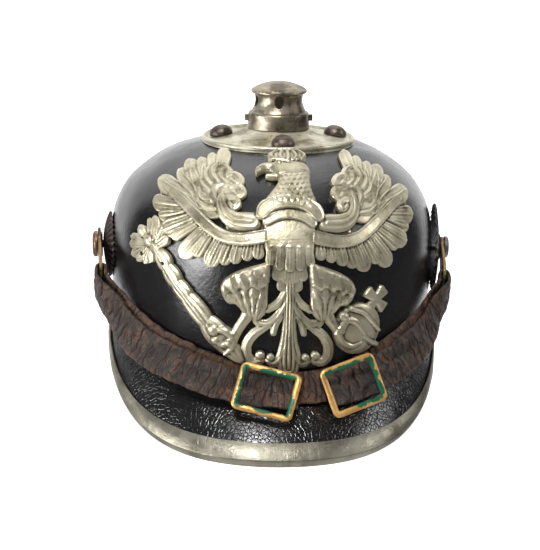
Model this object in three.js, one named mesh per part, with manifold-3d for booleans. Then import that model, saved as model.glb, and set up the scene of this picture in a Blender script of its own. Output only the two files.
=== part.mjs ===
// A leather infantry helmet with its spike taken off: skull, two visors, crown plate with
// vent neck, eagle plate, side fittings and a folded chin strap.
// Millimetres, +Z up, the front faces -Y, the visors rest on Z = 0.
import * as THREE from 'three';
import { mergeVertices } from 'three/addons/utils/BufferGeometryUtils.js';
import Module from 'manifold-3d';

const wasm = await Module();
wasm.setup();

// Driving dimensions
const SEAT = 0.3;

const SHELL = {
  halfWidth: 88.5,
  wideZ: 85.2,
  domeRise: 58.4,
  power: 2.32,
  frontStretch: 1.18,
  rearStretch: 1.2,
  rearShift: 8,
  sideSet: -2.5,
  tuck: 0.035,
  wall: 2.6,
  rimEar: 40,
  rimFront: 31,
  rimRear: 28,
  ventRadius: 13,
  segments: 32,
  domeSteps: 7,
  wallSteps: 2,
};

// A visor runs from ear to ear; its lower edge is a rounded U in plan that lies flat in the middle
const FRONT_VISOR = {
  facing: -1,
  halfWidth: 84.8,
  earY: -10,
  tipY: -125.4,
  power: 2.07,
  earZ: 38,
  edgeRise: 1.74,
  flatShare: 0.05,
  turn: -1.85,
  seamTurn: 80,
  arch: 1.2,
  hem: 1.4,
  lift: 1.1,
};
const REAR_VISOR = {
  facing: 1,
  halfWidth: 86,
  earY: 18,
  tipY: 139,
  power: 2.1,
  earZ: 37,
  edgeRise: 1.6,
  flatShare: 0.06,
  turn: 0,
  seamTurn: 80,
  arch: 2,
  hem: 0,
  lift: 0,
};
const VISOR = { thickness: 2.4, segments: 20, steps: 3, restStep: 1.4 };
const EAR_END = 0.98;
const TRIM = { face: 10.2, faceAtEar: 4.2, lap: 5.5, sheet: 0.8 };

const PLATE = {
  radius: 41.25,
  rimZ: 140.2,
  flankOuter: 38.4,
  flankInner: 29.2,
  flankZ: 141.35,
  flankRise: 1.65,
  collarRadius: 17.4,
  collarZ: 146.7,
  segments: 28,
};
const NECK = {
  collarRadius: 16.3,
  waistRadius: 12.7,
  capRadius: 15,
  baseZ: 147,
  shoulderZ: 155.4,
  waistZ: 162.5,
  capZ: 166.4,
  topZ: 172,
  wall: 1.6,
  segments: 16,
};
const VENT = { count: 5, width: 5, height: 7, z: 162, frontTurn: -4 };
const PEG = { radius: 1.8, reach: 2, z: 152.2 };
const STUD = { radius: 6.2, rise: 5 };
const STUDS = [
  { name: 'front', turn: 0, ring: 32.1 },
  { name: 'right', turn: 90, ring: 30.8 },
  { name: 'back', turn: 180, ring: 32.1 },
  { name: 'left', turn: 270, ring: 30.8 },
];

// The two side fittings differ: turn and height of the post, its washer and head radius, the eye
// and lean of the lug, the radius of the cockade and the share by which it is bent to the skull
const SIDES = [
  { name: 'left', side: -1, turn: 86, z: 82, washer: 0.6, head: 7.1, eye: 9, lean: 59, disc: 17.5, bend: 1 },
  { name: 'right', side: 1, turn: 83, z: 81.5, washer: 0.3, head: 6, eye: 5.6, lean: 54, disc: 23.5, bend: 0 },
];
const POST = { head: 2.8, neckRadius: 3, washerRadius: 7.2, shank: 2.2 };
const COCKADE = { rise: 2.6, sheet: 0.9, bore: 3.4, flutes: 11, fluteDepth: 0.35 };
const LUG = { thickness: 1.6, reach: 27, width: 24, slotWidth: 18.6, slot: 3.8, bar: 2.8 };

const STRAP = {
  width: 17.5,
  thickness: 2.2,
  layerGap: 0.4,
  layerDrop: 4,
  straight: 4,
  wallGap: 1,
  leftEnd: 3,
  rightEnd: 12.5,
};
const BUCKLE = { length: 31.2, height: 25.4, bar: 3.2, thickness: 2.4, corner: 2.6 };
const BUCKLES = [
  { name: 'left', turn: -5.4, drop: 1.5, roll: -8, tip: 6, lift: 0.3 },
  { name: 'right', turn: 18.6, drop: 1.8, roll: 2, tip: 18, lift: 2.85 },
];

const SPINE = { width: 10, thickness: 1.2, startRadius: 39.6 };
const BADGE = { shift: 1.5, tilt: -1.5, sink: 3 };

const radians = THREE.MathUtils.degToRad;
const vec = (x, y, z) => new THREE.Vector3(x, y, z);

// Materials
function finish(color, roughness, metalness) {
  return new THREE.MeshStandardMaterial({ color, roughness, metalness });
}
const LACQUER = () => finish(0x17161a, 0.3, 0);
const NICKEL = () => finish(0xb3aa8c, 0.4, 1);
const PALE_NICKEL = () => finish(0xc4c0ac, 0.42, 1);
const DARK_NICKEL = () => finish(0x6d665a, 0.4, 1);
const BRASS = () => finish(0xb98a45, 0.4, 1);
const STRAP_LEATHER = () => finish(0x3a2822, 0.7, 0);
const BLACK_TIN = () => finish(0x201e1d, 0.5, 0.3);

// Meshes and solids
function weld(geometry) {
  geometry.deleteAttribute('normal');
  geometry.deleteAttribute('uv');
  const merged = mergeVertices(geometry, 1e-4);
  const index = Array.from(merged.index.array);
  const kept = [];
  for (let i = 0; i < index.length; i += 3) {
    const [a, b, c] = index.slice(i, i + 3);
    if (a !== b && b !== c && c !== a) kept.push(a, b, c);
  }
  merged.setIndex(kept);
  return outward(merged);
}

function outward(geometry) {
  const place = geometry.attributes.position;
  const index = geometry.index.array;
  const corner = (i) => new THREE.Vector3().fromBufferAttribute(place, index[i]);
  let volume = 0;
  for (let i = 0; i < index.length; i += 3) volume += corner(i).dot(corner(i + 1).cross(corner(i + 2)));
  if (volume < 0) {
    const turned = [];
    for (let i = 0; i < index.length; i += 3) turned.push(index[i], index[i + 2], index[i + 1]);
    geometry.setIndex(turned);
  }
  return geometry;
}

// A skin through rings of points, closed at both ends by a fan on the point given for that end
function loft(rings, firstCentre, lastCentre) {
  const count = rings[0].length;
  const points = rings.flat().concat([firstCentre, lastCentre]);
  const firstTip = points.length - 2;
  const lastTip = points.length - 1;
  const lastRow = (rings.length - 1) * count;
  const index = [];
  for (let i = 0; i < count; i += 1) {
    const next = (i + 1) % count;
    for (let row = 0; row < lastRow; row += count) {
      index.push(row + i, row + next, row + count + next);
      index.push(row + i, row + count + next, row + count + i);
    }
    index.push(firstTip, next, i);
    index.push(lastTip, lastRow + i, lastRow + next);
  }
  const geometry = new THREE.BufferGeometry().setFromPoints(points);
  geometry.setIndex(index);
  return weld(geometry);
}

function middle(points) {
  const sum = points.reduce((total, point) => total.add(point), vec(0, 0, 0));
  return sum.divideScalar(points.length);
}

function loftThrough(rings) {
  return loft(rings, middle(rings[0]), middle(rings[rings.length - 1]));
}

// The solid between an outer and an inner grid of points
function slab(outer, inner) {
  const rows = outer.length;
  const columns = outer[0].length;
  const at = (layer, i, j) => (layer * rows + i) * columns + j;
  const index = [];
  const quad = (a, b, c, d) => index.push(a, b, c, a, c, d);
  const lastRow = rows - 1;
  const lastColumn = columns - 1;
  for (let i = 0; i < lastRow; i += 1) {
    for (let j = 0; j < lastColumn; j += 1) {
      quad(at(0, i, j), at(0, i, j + 1), at(0, i + 1, j + 1), at(0, i + 1, j));
      quad(at(1, i, j), at(1, i + 1, j), at(1, i + 1, j + 1), at(1, i, j + 1));
    }
    quad(at(0, i, 0), at(0, i + 1, 0), at(1, i + 1, 0), at(1, i, 0));
    quad(at(0, i, lastColumn), at(1, i, lastColumn), at(1, i + 1, lastColumn), at(0, i + 1, lastColumn));
  }
  for (let j = 0; j < lastColumn; j += 1) {
    quad(at(0, 0, j), at(1, 0, j), at(1, 0, j + 1), at(0, 0, j + 1));
    quad(at(0, lastRow, j), at(0, lastRow, j + 1), at(1, lastRow, j + 1), at(1, lastRow, j));
  }
  const geometry = new THREE.BufferGeometry().setFromPoints([...outer.flat(), ...inner.flat()]);
  geometry.setIndex(index);
  return weld(geometry);
}

// A profile of [radius, height] pairs turned about +Z
function turned(profile, segments) {
  const points = profile.map(([radius, height]) => new THREE.Vector2(radius, height));
  return weld(new THREE.LatheGeometry(points, segments).rotateX(Math.PI / 2));
}

function moulded(geometry, place) {
  const spots = geometry.attributes.position;
  const point = vec(0, 0, 0);
  for (let i = 0; i < spots.count; i += 1) {
    point.fromBufferAttribute(spots, i);
    place(point);
    spots.setXYZ(i, point.x, point.y, point.z);
  }
  return geometry;
}

function solid(geometry) {
  const vertProperties = new Float32Array(geometry.attributes.position.array);
  const triVerts = new Uint32Array(geometry.index.array);
  return new wasm.Manifold(new wasm.Mesh({ numProp: 3, vertProperties, triVerts }));
}

function surface(body) {
  const { vertProperties, triVerts } = body.getMesh();
  const geometry = new THREE.BufferGeometry();
  geometry.setAttribute('position', new THREE.BufferAttribute(vertProperties, 3));
  geometry.setIndex(Array.from(triVerts));
  return geometry;
}

function joined(geometries) {
  return geometries.map(solid).reduce((whole, next) => whole.add(next));
}

function cut(geometry, tools) {
  return surface(tools.map(solid).reduce((left, tool) => left.subtract(tool), solid(geometry)));
}

function rod(radius, from, to) {
  const path = new THREE.LineCurve3(from, to);
  const section = new THREE.Shape().absarc(0, 0, radius, 0, 2 * Math.PI);
  const options = { steps: 1, curveSegments: 5, bevelEnabled: false, extrudePath: path };
  return weld(new THREE.ExtrudeGeometry(section, options));
}

const helmet = new THREE.Group();
function addPiece(name, geometry, material) {
  const mesh = new THREE.Mesh(geometry, material);
  mesh.name = name;
  helmet.add(mesh);
}

// The skull: a turned dome drawn out to an egg-shaped rim; turn 0 is the front, + towards +X
function drawOval(point) {
  const radius = Math.hypot(point.x, point.y);
  const share = Math.min(1, (radius / SHELL.halfWidth) ** 2);
  const stretch = point.y < 0 ? SHELL.frontStretch : SHELL.rearStretch;
  point.x += SHELL.sideSet * share;
  point.y = point.y * (1 + (stretch - 1) * share) + SHELL.rearShift * share;
  return point;
}

function rimHeight(turn) {
  const ahead = Math.cos(turn);
  const drop = ahead > 0 ? SHELL.rimFront - SHELL.rimEar : SHELL.rimRear - SHELL.rimEar;
  return SHELL.rimEar + drop * ahead * ahead;
}

const domeAt = (angle, out = 0) => [
  (SHELL.halfWidth + out) * Math.cos(angle) ** (2 / SHELL.power),
  SHELL.wideZ + (SHELL.domeRise + out) * Math.sin(angle) ** (2 / SHELL.power),
];
const wallRadius = (down) => SHELL.halfWidth * (1 - SHELL.tuck * down * down);

// Angle on the dome's profile where it reaches the given radius
function domeAngle(radius, out = 0) {
  return Math.acos((radius / (SHELL.halfWidth + out)) ** (SHELL.power / 2));
}

function shellProfile(out, endRadius) {
  const rows = [];
  for (let i = 0; i < SHELL.wallSteps; i += 1) {
    const down = 1 - i / SHELL.wallSteps;
    rows.push([wallRadius(down) + out, SHELL.wideZ - (SHELL.wideZ - SHELL.rimEar) * down]);
  }
  const last = domeAngle(endRadius, out);
  for (let i = 0; i <= SHELL.domeSteps; i += 1) rows.push(domeAt((last * i) / SHELL.domeSteps, out));
  return rows;
}

// The lower wall reaches down to the rim, which dips at the front and the back
function drawShell(point) {
  if (point.z < SHELL.wideZ) {
    const turn = Math.atan2(point.x, -point.y);
    const depth = (SHELL.wideZ - rimHeight(turn)) / (SHELL.wideZ - SHELL.rimEar);
    point.z = SHELL.wideZ - (SHELL.wideZ - point.z) * depth;
  }
  return drawOval(point);
}

// The skull without its hollow, grown by a little, cuts the seat of what lies on it
function shellBlank(out) {
  const outer = shellProfile(out, SHELL.ventRadius);
  const top = outer[outer.length - 1][1];
  const bottom = outer[0][1];
  return moulded(turned([[0, bottom], ...outer, [0, top]], SHELL.segments), drawShell);
}

// Height of the skull's outside at a place in plan
function domeHeight(x, y) {
  let radius = Math.hypot(x, y);
  for (let i = 0; i < 12; i += 1) {
    const share = Math.min(1, (radius / SHELL.halfWidth) ** 2);
    const back = y - SHELL.rearShift * share;
    const stretch = back < 0 ? SHELL.frontStretch : SHELL.rearStretch;
    radius = Math.hypot(x - SHELL.sideSet * share, back / (1 + (stretch - 1) * share));
  }
  return domeAt(domeAngle(radius))[1];
}

function shellPoint(turn, z) {
  const up = Math.max(z - SHELL.wideZ, 0) / SHELL.domeRise;
  const down = Math.max(SHELL.wideZ - z, 0) / (SHELL.wideZ - rimHeight(turn));
  const radius = wallRadius(down) * (1 - up ** SHELL.power) ** (1 / SHELL.power);
  return drawOval(vec(radius * Math.sin(turn), -radius * Math.cos(turn), z));
}

function wallNormal(turn, z) {
  const step = 0.01;
  const along = shellPoint(turn + step, z).sub(shellPoint(turn - step, z));
  return vec(along.y, -along.x, 0).normalize();
}

// Visors
function visorFrame(spec, share) {
  const tau = radians(90 * share);
  const ahead = Math.cos(tau) ** (2 / spec.power);
  const aside = Math.sign(share) * Math.abs(Math.sin(tau)) ** (2 / spec.power);
  const rise = Math.max(0, (1 - ahead - spec.flatShare) / (1 - spec.flatShare));
  const edge = vec(spec.halfWidth * aside, spec.earY + (spec.tipY - spec.earY) * ahead - SHELL.rearShift, 0);
  edge.applyAxisAngle(vec(0, 0, 1), radians(spec.turn));
  edge.add(vec(SHELL.sideSet, SHELL.rearShift, spec.earZ * rise ** spec.edgeRise));
  const seamTurn = radians(spec.seamTurn * share);
  const turn = spec.facing < 0 ? seamTurn : Math.PI - seamTurn;
  const rim = rimHeight(turn);
  const seam = shellPoint(turn, rim).addScaledVector(wallNormal(turn, rim), SEAT);
  const inward = seam.clone().sub(edge);
  const width = inward.length();
  inward.normalize();
  const along = wallNormal(turn, rim).cross(vec(0, 0, 1));
  const up = along.cross(inward).normalize();
  if (up.z < 0) up.negate();
  return { edge, seam, inward, up, width };
}

// Cut-off of the lower corner, level with the surface that the edge rests on
function restCorner(frame) {
  const low = frame.edge;
  const onFace = low.clone().addScaledVector(frame.up, VISOR.restStep / Math.max(frame.up.z, 0.3));
  const onLap = low.clone().addScaledVector(frame.inward, VISOR.restStep / Math.max(frame.inward.z, 0.3));
  return [onFace, onLap].map((point) => point.add(vec(0, 0, -VISOR.restStep)));
}

function visorSection(spec, share) {
  const frame = visorFrame(spec, share);
  const lower = [];
  const upper = [];
  for (let i = 0; i <= VISOR.steps; i += 1) {
    const t = i / VISOR.steps;
    const inset = spec.hem + (frame.width - spec.hem) * t;
    const swell = spec.arch * 4 * t * (1 - t) + spec.lift * (1 - t);
    const spot = frame.edge.clone().addScaledVector(frame.inward, inset).addScaledVector(frame.up, swell);
    lower.push(spot);
    upper.push(spot.clone().addScaledVector(frame.up, VISOR.thickness));
  }
  return [...lower, ...upper.reverse()];
}

function shares(count, reach = 1) {
  return Array.from({ length: count + 1 }, (unused, i) => reach * ((2 * i) / count - 1));
}

function visorSolid(spec) {
  return loftThrough(shares(VISOR.segments, EAR_END).map((share) => visorSection(spec, share)));
}

function rearVisorSection(share) {
  const section = visorSection(REAR_VISOR, share);
  const [onFace, onLap] = restCorner(visorFrame(REAR_VISOR, share));
  section.splice(0, 1, onFace, onLap);
  return section;
}

// Folded sheet over the front visor's edge
function trimSection(share) {
  const frame = visorFrame(FRONT_VISOR, share);
  const taper = THREE.MathUtils.lerp(TRIM.face, TRIM.faceAtEar, Math.abs(share) ** 3);
  const face = Math.min(taper, frame.width * 0.7);
  const lap = Math.min(TRIM.lap, face);
  const bed = FRONT_VISOR.lift - SEAT;
  const top = FRONT_VISOR.lift + VISOR.thickness + SEAT;
  const swell = (inset) => {
    const t = (inset - FRONT_VISOR.hem) / (frame.width - FRONT_VISOR.hem);
    return FRONT_VISOR.arch * 4 * t * (1 - t) - FRONT_VISOR.lift * t;
  };
  const spot = (inset, height) => frame.edge
    .clone()
    .addScaledVector(frame.inward, inset)
    .addScaledVector(frame.up, height);
  const [onFace, onLap] = restCorner(frame);
  const web = FRONT_VISOR.hem - SEAT;
  return [
    onFace,
    spot(0, top + TRIM.sheet),
    spot(face, top + TRIM.sheet + swell(face)),
    spot(face, top + swell(face)),
    spot(web, top),
    spot(web, bed),
    spot(lap, bed + swell(lap)),
    spot(lap, bed - TRIM.sheet + swell(lap)),
    onLap,
  ];
}

// Crown plate and vent neck, each a turned profile
const PLATE_ROWS = [
  { radius: PLATE.radius, z: PLATE.rimZ },
  { radius: PLATE.radius - 0.4, z: PLATE.rimZ + 1.2 },
  { radius: PLATE.radius - 1.5, z: PLATE.rimZ + 1.55 },
  { radius: PLATE.flankOuter, z: PLATE.flankZ },
  { radius: PLATE.flankInner, z: PLATE.flankZ + PLATE.flankRise },
  { radius: PLATE.collarRadius + 4.4, z: PLATE.collarZ - 2.4 },
  { radius: PLATE.collarRadius, z: PLATE.collarZ },
];
const NECK_ROWS = [
  { radius: NECK.collarRadius + 0.5, z: NECK.baseZ },
  { radius: NECK.collarRadius, z: NECK.shoulderZ - 1 },
  { radius: NECK.waistRadius + 1, z: NECK.shoulderZ + 2.8 },
  { radius: NECK.waistRadius, z: NECK.waistZ },
  { radius: NECK.waistRadius + 0.6, z: NECK.capZ - 1.4 },
  { radius: NECK.capRadius - 0.6, z: NECK.capZ - 0.4 },
  { radius: NECK.capRadius, z: NECK.capZ + 0.6 },
  { radius: NECK.capRadius * 0.68, z: NECK.topZ - 1 },
  { radius: 0, z: NECK.topZ },
];
const pairs = (rows) => rows.map(({ radius, z }) => [radius, z]);

// The plate's underside lies on the skull
function plateSolid() {
  const seat = [SHELL.ventRadius, 24, 33, PLATE.radius].map((radius) => [radius, 0]);
  const top = [SHELL.ventRadius, PLATE.collarZ];
  const profile = [...seat, ...pairs(PLATE_ROWS), top, seat[0]];
  return outward(moulded(turned(profile, PLATE.segments), (point) => {
    if (point.z < 1) point.z = domeHeight(point.x, point.y) + SEAT + 0.1;
  }));
}

function neckSolid() {
  const outer = pairs(NECK_ROWS);
  const inner = [
    [0, NECK.topZ - NECK.wall],
    [NECK.waistRadius - NECK.wall - 1, NECK.capZ],
    [NECK.waistRadius - NECK.wall, NECK.waistZ],
    [SHELL.ventRadius, NECK.baseZ],
  ];
  const pegs = [-1, 1].map((side) => {
    const from = vec(side * (NECK.collarRadius - 1), 0, PEG.z);
    return rod(PEG.radius, from, vec(side * (NECK.collarRadius + PEG.reach), 0, PEG.z));
  });
  const whole = joined([turned([...outer, ...inner, outer[0]], NECK.segments), ...pegs]);
  return cut(surface(whole), ventBores());
}

function ventBores() {
  const bores = [];
  for (let i = 0; i < VENT.count; i += 1) {
    const turn = radians(VENT.frontTurn + (360 * i) / VENT.count);
    const out = vec(Math.sin(turn), -Math.cos(turn), 0);
    const from = out.clone().multiplyScalar(NECK.waistRadius - 4).setZ(VENT.z);
    const to = out.clone().multiplyScalar(NECK.waistRadius + 6).setZ(VENT.z);
    const stretch = (point) => point.setZ(VENT.z + ((point.z - VENT.z) * VENT.height) / VENT.width);
    bores.push(moulded(rod(VENT.width / 2, from, to), stretch));
  }
  return bores;
}

// Domed rivets that lie on the plate's flank
function studSolid(turn, ring) {
  const { radius, rise } = STUD;
  const slope = Math.atan(PLATE.flankRise / (PLATE.flankOuter - PLATE.flankInner));
  const height = PLATE.flankZ + (PLATE.flankOuter - ring) * Math.tan(slope);
  const profile = [
    [0, 0],
    [radius, 0],
    [radius, rise * 0.14],
    [radius * 0.84, rise * 0.55],
    [radius * 0.48, rise * 0.9],
    [0, rise],
  ];
  const dome = turned(profile, 12).translate(0, 0, SEAT).rotateY(slope).translate(ring, 0, height);
  return dome.rotateZ(radians(turn - 90));
}

// Side fittings stand square to the wall: local x to the front, y up, z outwards
const fittingOf = (side) => SIDES.find((row) => row.side === side);

// Heights off the wall at which the pieces of a fitting start
function stackOf(side) {
  const washer = 2 * SEAT + COCKADE.rise + COCKADE.sheet + COCKADE.fluteDepth;
  const neck = washer + fittingOf(side).washer;
  const lug = neck + SEAT;
  return { washer, neck, lug, head: lug + LUG.thickness + SEAT };
}

function fittingFrame(side) {
  const { turn, z } = fittingOf(side);
  const out = wallNormal(radians(side * turn), z);
  const up = vec(0, 0, 1);
  const fore = vec(-side * out.y, side * out.x, 0).multiplyScalar(-1);
  return { origin: shellPoint(radians(side * turn), z), out, up, fore };
}

function inFitting(side, x, y, z) {
  const { origin, out, up, fore } = fittingFrame(side);
  return origin.clone().addScaledVector(fore, x).addScaledVector(up, y).addScaledVector(out, z);
}

function fitted(geometry, side) {
  return outward(moulded(geometry, (point) => point.copy(inFitting(side, point.x, point.y, point.z))));
}

// How far the wall falls away from the plane of a fitting
function wallFall(side, x, y) {
  const { turn, z } = fittingOf(side);
  const { origin, out } = fittingFrame(side);
  const round = radians(turn) - x / SHELL.halfWidth;
  return origin.clone().sub(shellPoint(side * round, z + y)).dot(out);
}

function postSolid(side) {
  const { washer, neck, head } = stackOf(side);
  const radius = fittingOf(side).head;
  const profile = [
    [0, -SHELL.wall],
    [POST.shank, -SHELL.wall],
    [POST.shank, washer],
    [POST.washerRadius, washer],
    [POST.washerRadius * 0.9, neck],
    [POST.neckRadius, neck],
    [POST.neckRadius, head],
    [radius, head],
    [radius, head + POST.head * 0.45],
    [radius * 0.8, head + POST.head * 0.9],
    [0, head + POST.head],
  ];
  return fitted(turned(profile, 11), side);
}

function cockadeSolid(side) {
  const { disc, bend } = fittingOf(side);
  const segments = 2 * COCKADE.flutes;
  const dish = (radius) => COCKADE.rise * (1 - (radius / disc) ** 2) + SEAT + COCKADE.fluteDepth;
  const radii = [COCKADE.bore, disc * 0.4, disc];
  const under = radii.map((radius) => [radius, dish(radius)]);
  const over = radii.map((radius) => [radius, dish(radius) + COCKADE.sheet]).reverse();
  const plain = turned([...under, ...over, under[0]], segments);
  const fluted = moulded(plain, (point) => {
    const radius = Math.hypot(point.x, point.y);
    const ridge = Math.round((Math.atan2(point.y, point.x) * segments) / (2 * Math.PI)) % 2 === 0 ? 1 : -1;
    const share = Math.max(0, radius / disc - 0.4) / 0.6;
    point.multiply(vec(1 + 0.02 * ridge * share, 1 + 0.02 * ridge * share, 1));
    point.z += ridge * share * COCKADE.fluteDepth - bend * wallFall(side, point.x, point.y);
  });
  return fitted(fluted, side);
}

// The lug hangs on the post and leans along the strap: s runs down to the slot, t across
function lugPoint(side, s, t, z) {
  const lean = radians(fittingOf(side).lean);
  const x = s * Math.sin(lean) + t * Math.cos(lean);
  const y = -s * Math.cos(lean) + t * Math.sin(lean);
  return inFitting(side, x, y, z);
}

function lugSolid(side) {
  const end = LUG.reach + LUG.bar / 2;
  const slotEnd = LUG.reach - LUG.bar / 2;
  const half = LUG.width / 2;
  const outline = new THREE.Shape();
  outline.absarc(0, 0, fittingOf(side).eye, radians(62), radians(298));
  outline.lineTo(slotEnd - LUG.slot - 1, -half);
  outline.lineTo(end - 1.4, -half);
  outline.lineTo(end, -half + 1.4);
  outline.lineTo(end, half - 1.4);
  outline.lineTo(end - 1.4, half);
  outline.lineTo(slotEnd - LUG.slot - 1, half);
  const slot = new THREE.Path();
  slot.moveTo(slotEnd - LUG.slot, -LUG.slotWidth / 2);
  slot.lineTo(slotEnd - LUG.slot, LUG.slotWidth / 2);
  slot.lineTo(slotEnd, LUG.slotWidth / 2);
  slot.lineTo(slotEnd, -LUG.slotWidth / 2);
  outline.holes.push(new THREE.Path().absarc(0, 0, POST.neckRadius + SEAT, 0, 2 * Math.PI, true), slot);
  const options = { depth: LUG.thickness, steps: 1, curveSegments: 9, bevelEnabled: false };
  const plate = weld(new THREE.ExtrudeGeometry(outline, options));
  const place = (point) => point.copy(lugPoint(side, point.x, point.y, point.z + stackOf(side).lug));
  return outward(moulded(plate, place));
}

// Chin strap: height of its middle line left and right, lean of its top towards the wall,
// and how far it stands off the wall, in rows from the middle of the front to the lugs
const STRAP_ROWS = [
  { turn: 0, left: 32.2, right: 32.2, lean: 45, stand: 0 },
  { turn: 15, left: 35.2, right: 33, lean: 42, stand: 0 },
  { turn: 30, left: 41, right: 38.5, lean: 34, stand: 0 },
  { turn: 45, left: 46.2, right: 46, lean: 25, stand: 0 },
  { turn: 58, left: 52.8, right: 51.5, lean: 15, stand: 0.4 },
  { turn: 64, left: 57.4, right: 57, lean: 9, stand: 1.6 },
];
const MIDDLE_ROW = STRAP_ROWS.length + 1;

function strapSpot(side, row) {
  const turn = radians(side * row.turn);
  const lean = radians(row.lean);
  const z = side < 0 ? row.left : row.right;
  const off = STRAP.wallGap + row.stand
    + (STRAP.thickness / 2) * Math.cos(lean) + (STRAP.width / 2) * Math.sin(lean);
  const wall = wallNormal(turn, z);
  const normal = wall.clone().multiplyScalar(Math.cos(lean)).add(vec(0, 0, Math.sin(lean)));
  return { centre: shellPoint(turn, z).addScaledVector(wall, off), normal };
}

const FOLD_RADIUS = LUG.thickness / 2 + 2 * SEAT + STRAP.thickness / 2;
const FOLD_REACH = LUG.bar / 2 + 2 * SEAT + STRAP.thickness / 2;
const barCentre = (side) => lugPoint(side, LUG.reach, 0, stackOf(side).lug + LUG.thickness / 2);

function strapAnchor(side, past) {
  const normal = fittingFrame(side).out;
  const off = stackOf(side).lug + LUG.thickness / 2 - FOLD_RADIUS;
  const centre = lugPoint(side, LUG.reach + past, 0, off);
  return { centre, normal };
}

const STRAP_SPOTS = [
  strapAnchor(-1, 0),
  strapAnchor(-1, STRAP.straight),
  ...STRAP_ROWS.slice(1).reverse().map((row) => strapSpot(-1, row)),
  ...STRAP_ROWS.map((row) => strapSpot(1, row)),
  strapAnchor(1, STRAP.straight),
  strapAnchor(1, 0),
];
const STRAP_LINE = new THREE.CatmullRomCurve3(STRAP_SPOTS.map((spot) => spot.centre));
const LAST_SPOT = STRAP_SPOTS.length - 1;

// Frame of the inner layer at a place counted in rows from the left lug
function strapFrame(place) {
  const along = STRAP_LINE.getTangent(place / LAST_SPOT);
  const first = Math.min(Math.floor(place), LAST_SPOT - 1);
  const normal = STRAP_SPOTS[first].normal.clone().lerp(STRAP_SPOTS[first + 1].normal, place - first);
  normal.addScaledVector(along, -normal.dot(along)).normalize();
  const across = along.clone().cross(normal).normalize();
  if (across.z < 0) across.negate();
  return { centre: STRAP_LINE.getPoint(place / LAST_SPOT), along, normal, across };
}

function outerFrame(place) {
  const frame = strapFrame(place);
  const fromLug = Math.min(place, LAST_SPOT - place);
  const spread = THREE.MathUtils.smoothstep(fromLug, 1, 2.5);
  const apart = THREE.MathUtils.lerp(2 * FOLD_RADIUS, STRAP.thickness + STRAP.layerGap, spread);
  const drop = STRAP.layerDrop * THREE.MathUtils.smoothstep(fromLug, 1, 4);
  frame.centre.addScaledVector(frame.normal, apart).addScaledVector(frame.across, -drop);
  return frame;
}

// Place along the rows of a turn on the front, right of the middle for positive turns
function placeAtTurn(turn) {
  const next = STRAP_ROWS.findIndex((row) => row.turn >= Math.abs(turn));
  const low = STRAP_ROWS[next - 1];
  const share = next - 1 + (Math.abs(turn) - low.turn) / (STRAP_ROWS[next].turn - low.turn);
  return MIDDLE_ROW + Math.sign(turn) * share;
}

function strapRing({ centre, across }, away, grow) {
  const half = across.clone().multiplyScalar(STRAP.width / 2 + grow);
  const skin = away.clone().multiplyScalar(STRAP.thickness / 2 + grow);
  return [
    centre.clone().add(skin).add(half),
    centre.clone().add(skin).sub(half),
    centre.clone().sub(skin).sub(half),
    centre.clone().sub(skin).add(half),
  ];
}

function foldRings(side, grow) {
  const { out } = fittingFrame(side);
  const origin = lugPoint(side, 0, 0, 0);
  const toPost = origin.clone().sub(lugPoint(side, 1, 0, 0));
  const across = lugPoint(side, 0, 1, 0).sub(origin);
  const rings = [];
  for (let i = 1; i < 6; i += 1) {
    const angle = (Math.PI * i) / 6;
    const [outwards, up] = [-Math.cos(angle), Math.sin(angle)];
    const centre = barCentre(side);
    centre.addScaledVector(out, outwards * FOLD_RADIUS).addScaledVector(toPost, up * FOLD_REACH);
    const away = out.clone().multiplyScalar(outwards / FOLD_RADIUS);
    away.addScaledVector(toPost, up / FOLD_REACH).normalize();
    rings.push(strapRing({ centre, across }, away, grow));
  }
  return rings;
}

function steps(from, to, count) {
  return Array.from({ length: count + 1 }, (unused, i) => from + ((to - from) * i) / count);
}

function strapSolid(grow = 0) {
  const outer = (place) => {
    const frame = outerFrame(place);
    return strapRing(frame, frame.normal, grow);
  };
  const inner = (place) => {
    const frame = strapFrame(place);
    return strapRing(frame, frame.normal.clone().negate(), grow);
  };
  return loftThrough([
    ...steps(placeAtTurn(STRAP.leftEnd), 0, 14).map(outer),
    ...foldRings(-1, grow).reverse(),
    ...steps(0, LAST_SPOT, 28).map(inner),
    ...foldRings(1, grow),
    ...steps(LAST_SPOT, placeAtTurn(STRAP.rightEnd), 12).map(outer),
  ]);
}

// Plain frames that lie on the strap's outer layer
function roundedFrame(path, width, height, corner) {
  const x = width / 2 - corner;
  const y = height / 2 - corner;
  path.absarc(x, y, corner, 0, Math.PI / 2);
  path.absarc(-x, y, corner, Math.PI / 2, Math.PI);
  path.absarc(-x, -y, corner, Math.PI, 1.5 * Math.PI);
  path.absarc(x, -y, corner, 1.5 * Math.PI, 2 * Math.PI);
  return path;
}

function buckleSolid({ turn, drop, roll, tip, lift }, grow = 0) {
  const { length, height, bar, thickness, corner } = BUCKLE;
  const outline = roundedFrame(new THREE.Shape(), length + 2 * grow, height + 2 * grow, corner + grow);
  const window = [length, height].map((size) => size - 2 * bar - 2 * grow);
  outline.holes.push(roundedFrame(new THREE.Path(), ...window, 1));
  const options = { depth: thickness + 2 * grow, steps: 1, curveSegments: 2, bevelEnabled: false };
  const plain = weld(new THREE.ExtrudeGeometry(outline, options));
  const { centre, along, normal, across } = outerFrame(placeAtTurn(turn));
  const x = along.clone().applyAxisAngle(normal, radians(roll));
  const z = normal.clone().applyAxisAngle(x, radians(tip));
  const y = z.clone().cross(x);
  const height0 = STRAP.thickness / 2 + SEAT + lift - grow;
  const seat = centre.clone().addScaledVector(across, -drop).addScaledVector(normal, height0);
  const place = (point) => point.copy(
    seat.clone().addScaledVector(x, point.x).addScaledVector(y, point.y).addScaledVector(z, point.z),
  );
  return outward(moulded(plain, place));
}

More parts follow.
